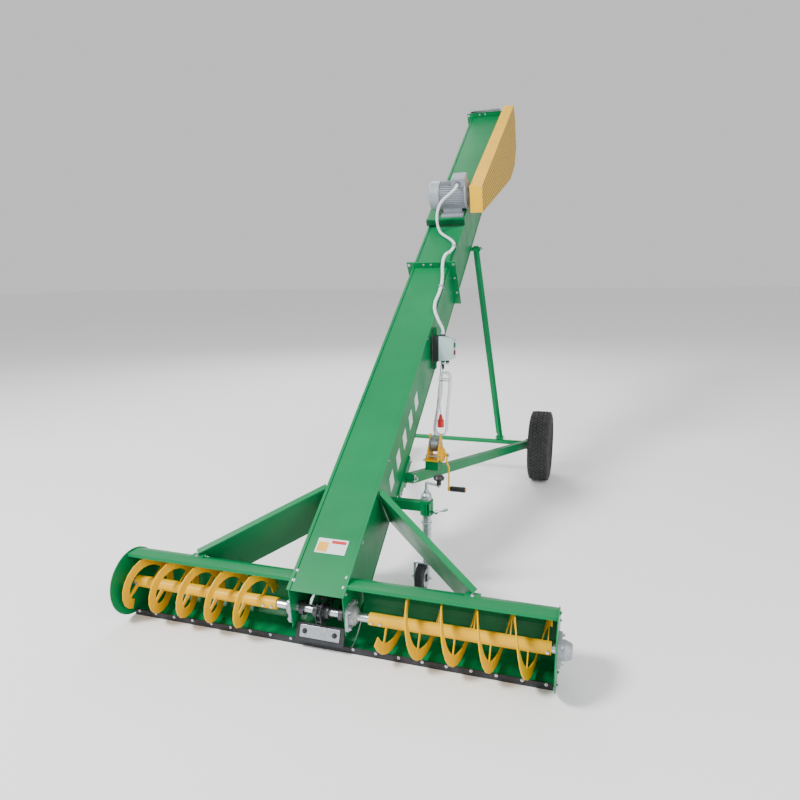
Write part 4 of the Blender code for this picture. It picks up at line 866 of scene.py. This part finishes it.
def jack_details():
    x, y = JACK
    knob = Shape(GROUND)
    knob.turned([(0.0005, 0.0092), (0.0, 0.0280), (0.009, 0.0300), (0.020, 0.0235), (0.0265, 0.0100),
                 (0.0275, 0.0010), (0.0255, 0.0010), (0.0255, 0.0080)], (x + 0.068, y, 0.654), 28, "z")
    knob.rod((x + 0.068, y, 0.624), (x + 0.068, y, 0.656), 0.0125, 20)
    knob.piece("jack_knob", BLACK, "jack_screw", bevel=0.0)
    crank = Shape(GROUND)
    crank.rod((x, y, 0.5750), (x, y, 0.6325), 0.0083, 16)
    crank.rod((x, y, 0.6300), (x + 0.069, y, 0.6195), 0.0072, 14)
    crank.rod((x + 0.068, y, 0.6115), (x + 0.068, y, 0.6580), 0.0093, 16)
    crank.rod((x, y, 0.5738), (x, y, 0.5885), 0.0150, 6)
    crank.piece("jack_crank_bar", BRIGHT, "jack_screw", bevel=0.0008, replaces=("jack_crank",))
    plates = Shape(GROUND)
    plates.box((x + 0.010, y - 0.052, 0.462), (x + 0.016, y - 0.020, 0.528))
    plates.box((x + 0.024, y - 0.052, 0.462), (x + 0.030, y - 0.020, 0.528))
    plates.piece("jack_clamp_plates", GREEN, bevel=0.001)
    ring = Shape(GROUND)
    ring.turned([(0.0, 0.0243), (0.0, 0.0285), (0.010, 0.0285), (0.010, 0.0243)], (x, y, 0.400), 32, "z")
    ring.turned([(0.0, 0.0272), (0.0, 0.0300), (0.006, 0.0300), (0.006, 0.0272)], (x, y, 0.5420), 32, "z")
    ring.piece("jack_tube_rings", ZINC, bevel=0.001)
    disc = Shape(GROUND)
    for side in (-1, 1):
        disc.turned([(side * 0.0195, 0.0203), (side * 0.0262, 0.0203), (side * 0.0262, 0.0500),
                     (side * 0.0195, 0.0500)], (JACK_WHEEL_X, y, 0.080), 32)
    disc.piece("jack_wheel_discs", ZINC, "jack_roller")
    nuts = Shape(GROUND)
    nuts.bolt((x + 0.0112, y, 0.080), (1, 0, 0), 0.0090)
    nuts.bolt((x - 0.0712, y, 0.080), (-1, 0, 0), 0.0090)
    nuts.piece("jack_axle_nuts", BRIGHT, "jack_slide")


def undercarriage_details():
    py, pz = FOOT_Y + 0.93 * COS + 0.34 * SIN, FOOT_Z + 0.93 * SIN - 0.34 * COS
    shape = Shape(GROUND)
    for side in (-1, 1):
        shape.bolt((side * 0.1962, py, pz), (side, 0, 0), 0.0120)
    shape.piece("pivot_nuts", BRIGHT)
    pins = Shape(GROUND)
    for side in (-1, 1):
        for offset in (-0.0285, 0.0285):
            out = 1 if offset > 0 else -1
            pins.bolt((side * 0.42 + offset, 2.712, 0.334), (out, 0, 0), 0.0085)
    pins.piece("strut_foot_pins", BRIGHT, "undercarriage")
    tops = Shape(GROUND)
    for side in (-1, 1):
        tops.bolt((side * 0.2052, 2.884, 1.911), (side, 0, 0), 0.0120)
    tops.piece("crosshead_nuts", BRIGHT, "slider")
    rails = Shape(CASING)
    for side in (-1, 1):
        rails.box((side * 0.118, 2.75, -0.3235), (side * 0.138, 4.25, -0.3055))
    rails.piece("slide_rails", GREEN, bevel=0.0015)


casing_bolts()
bearing_bolts()
intake_details()
screw_details()
detailed_chain()
tail_flight()
motor_details()
guard_details()
starter_details()
plain_marks()
for side, word in ((-1, "left"), (1, "right")):
    tread_tyre(word, side)
winch_details()
jack_details()
undercarriage_details()


# ---------------------------------------------------------------- stage and light
floor_mesh = bpy.data.meshes.new("floor")
floor_mesh.from_pydata([(-60, -60, 0), (60, -60, 0), (60, 60, 0), (-60, 60, 0)], [], [(0, 1, 2, 3)])
floor = bpy.data.objects.new("floor", floor_mesh)
bpy.context.scene.collection.objects.link(floor)
floor.location.z = -0.0005
floor_material, _, floor_shader = shader_parts("pale_floor")
floor_shader.inputs["Base Color"].default_value = (0.93, 0.93, 0.93, 1.0)
floor_shader.inputs["Roughness"].default_value = 0.9
floor_mesh.materials.append(floor_material)

world = bpy.data.worlds.new("sky")
world.use_nodes = True
world.node_tree.nodes["Background"].inputs["Color"].default_value = (1.0, 1.0, 1.0, 1.0)
world.node_tree.nodes["Background"].inputs["Strength"].default_value = 0.75
bpy.context.scene.world = world


def area_light(name, at, target, size, watts):
    data = bpy.data.lights.new(name, "AREA")
    data.shape = "DISK"
    data.size = size
    data.energy = watts
    light = bpy.data.objects.new(name, data)
    bpy.context.scene.collection.objects.link(light)
    light.location = at
    light.rotation_euler = (Vector(target) - Vector(at)).to_track_quat("-Z", "Y").to_euler()


area_light("key", (-5.0, -6.0, 8.0), (0, -0.5, 1.0), 2.5, 1300)
area_light("fill", (5.0, -5.0, 4.0), (0, -0.5, 1.0), 5.0, 260)
area_light("back", (-3.0, 6.0, 6.0), (0, 0.5, 1.5), 4.0, 350)
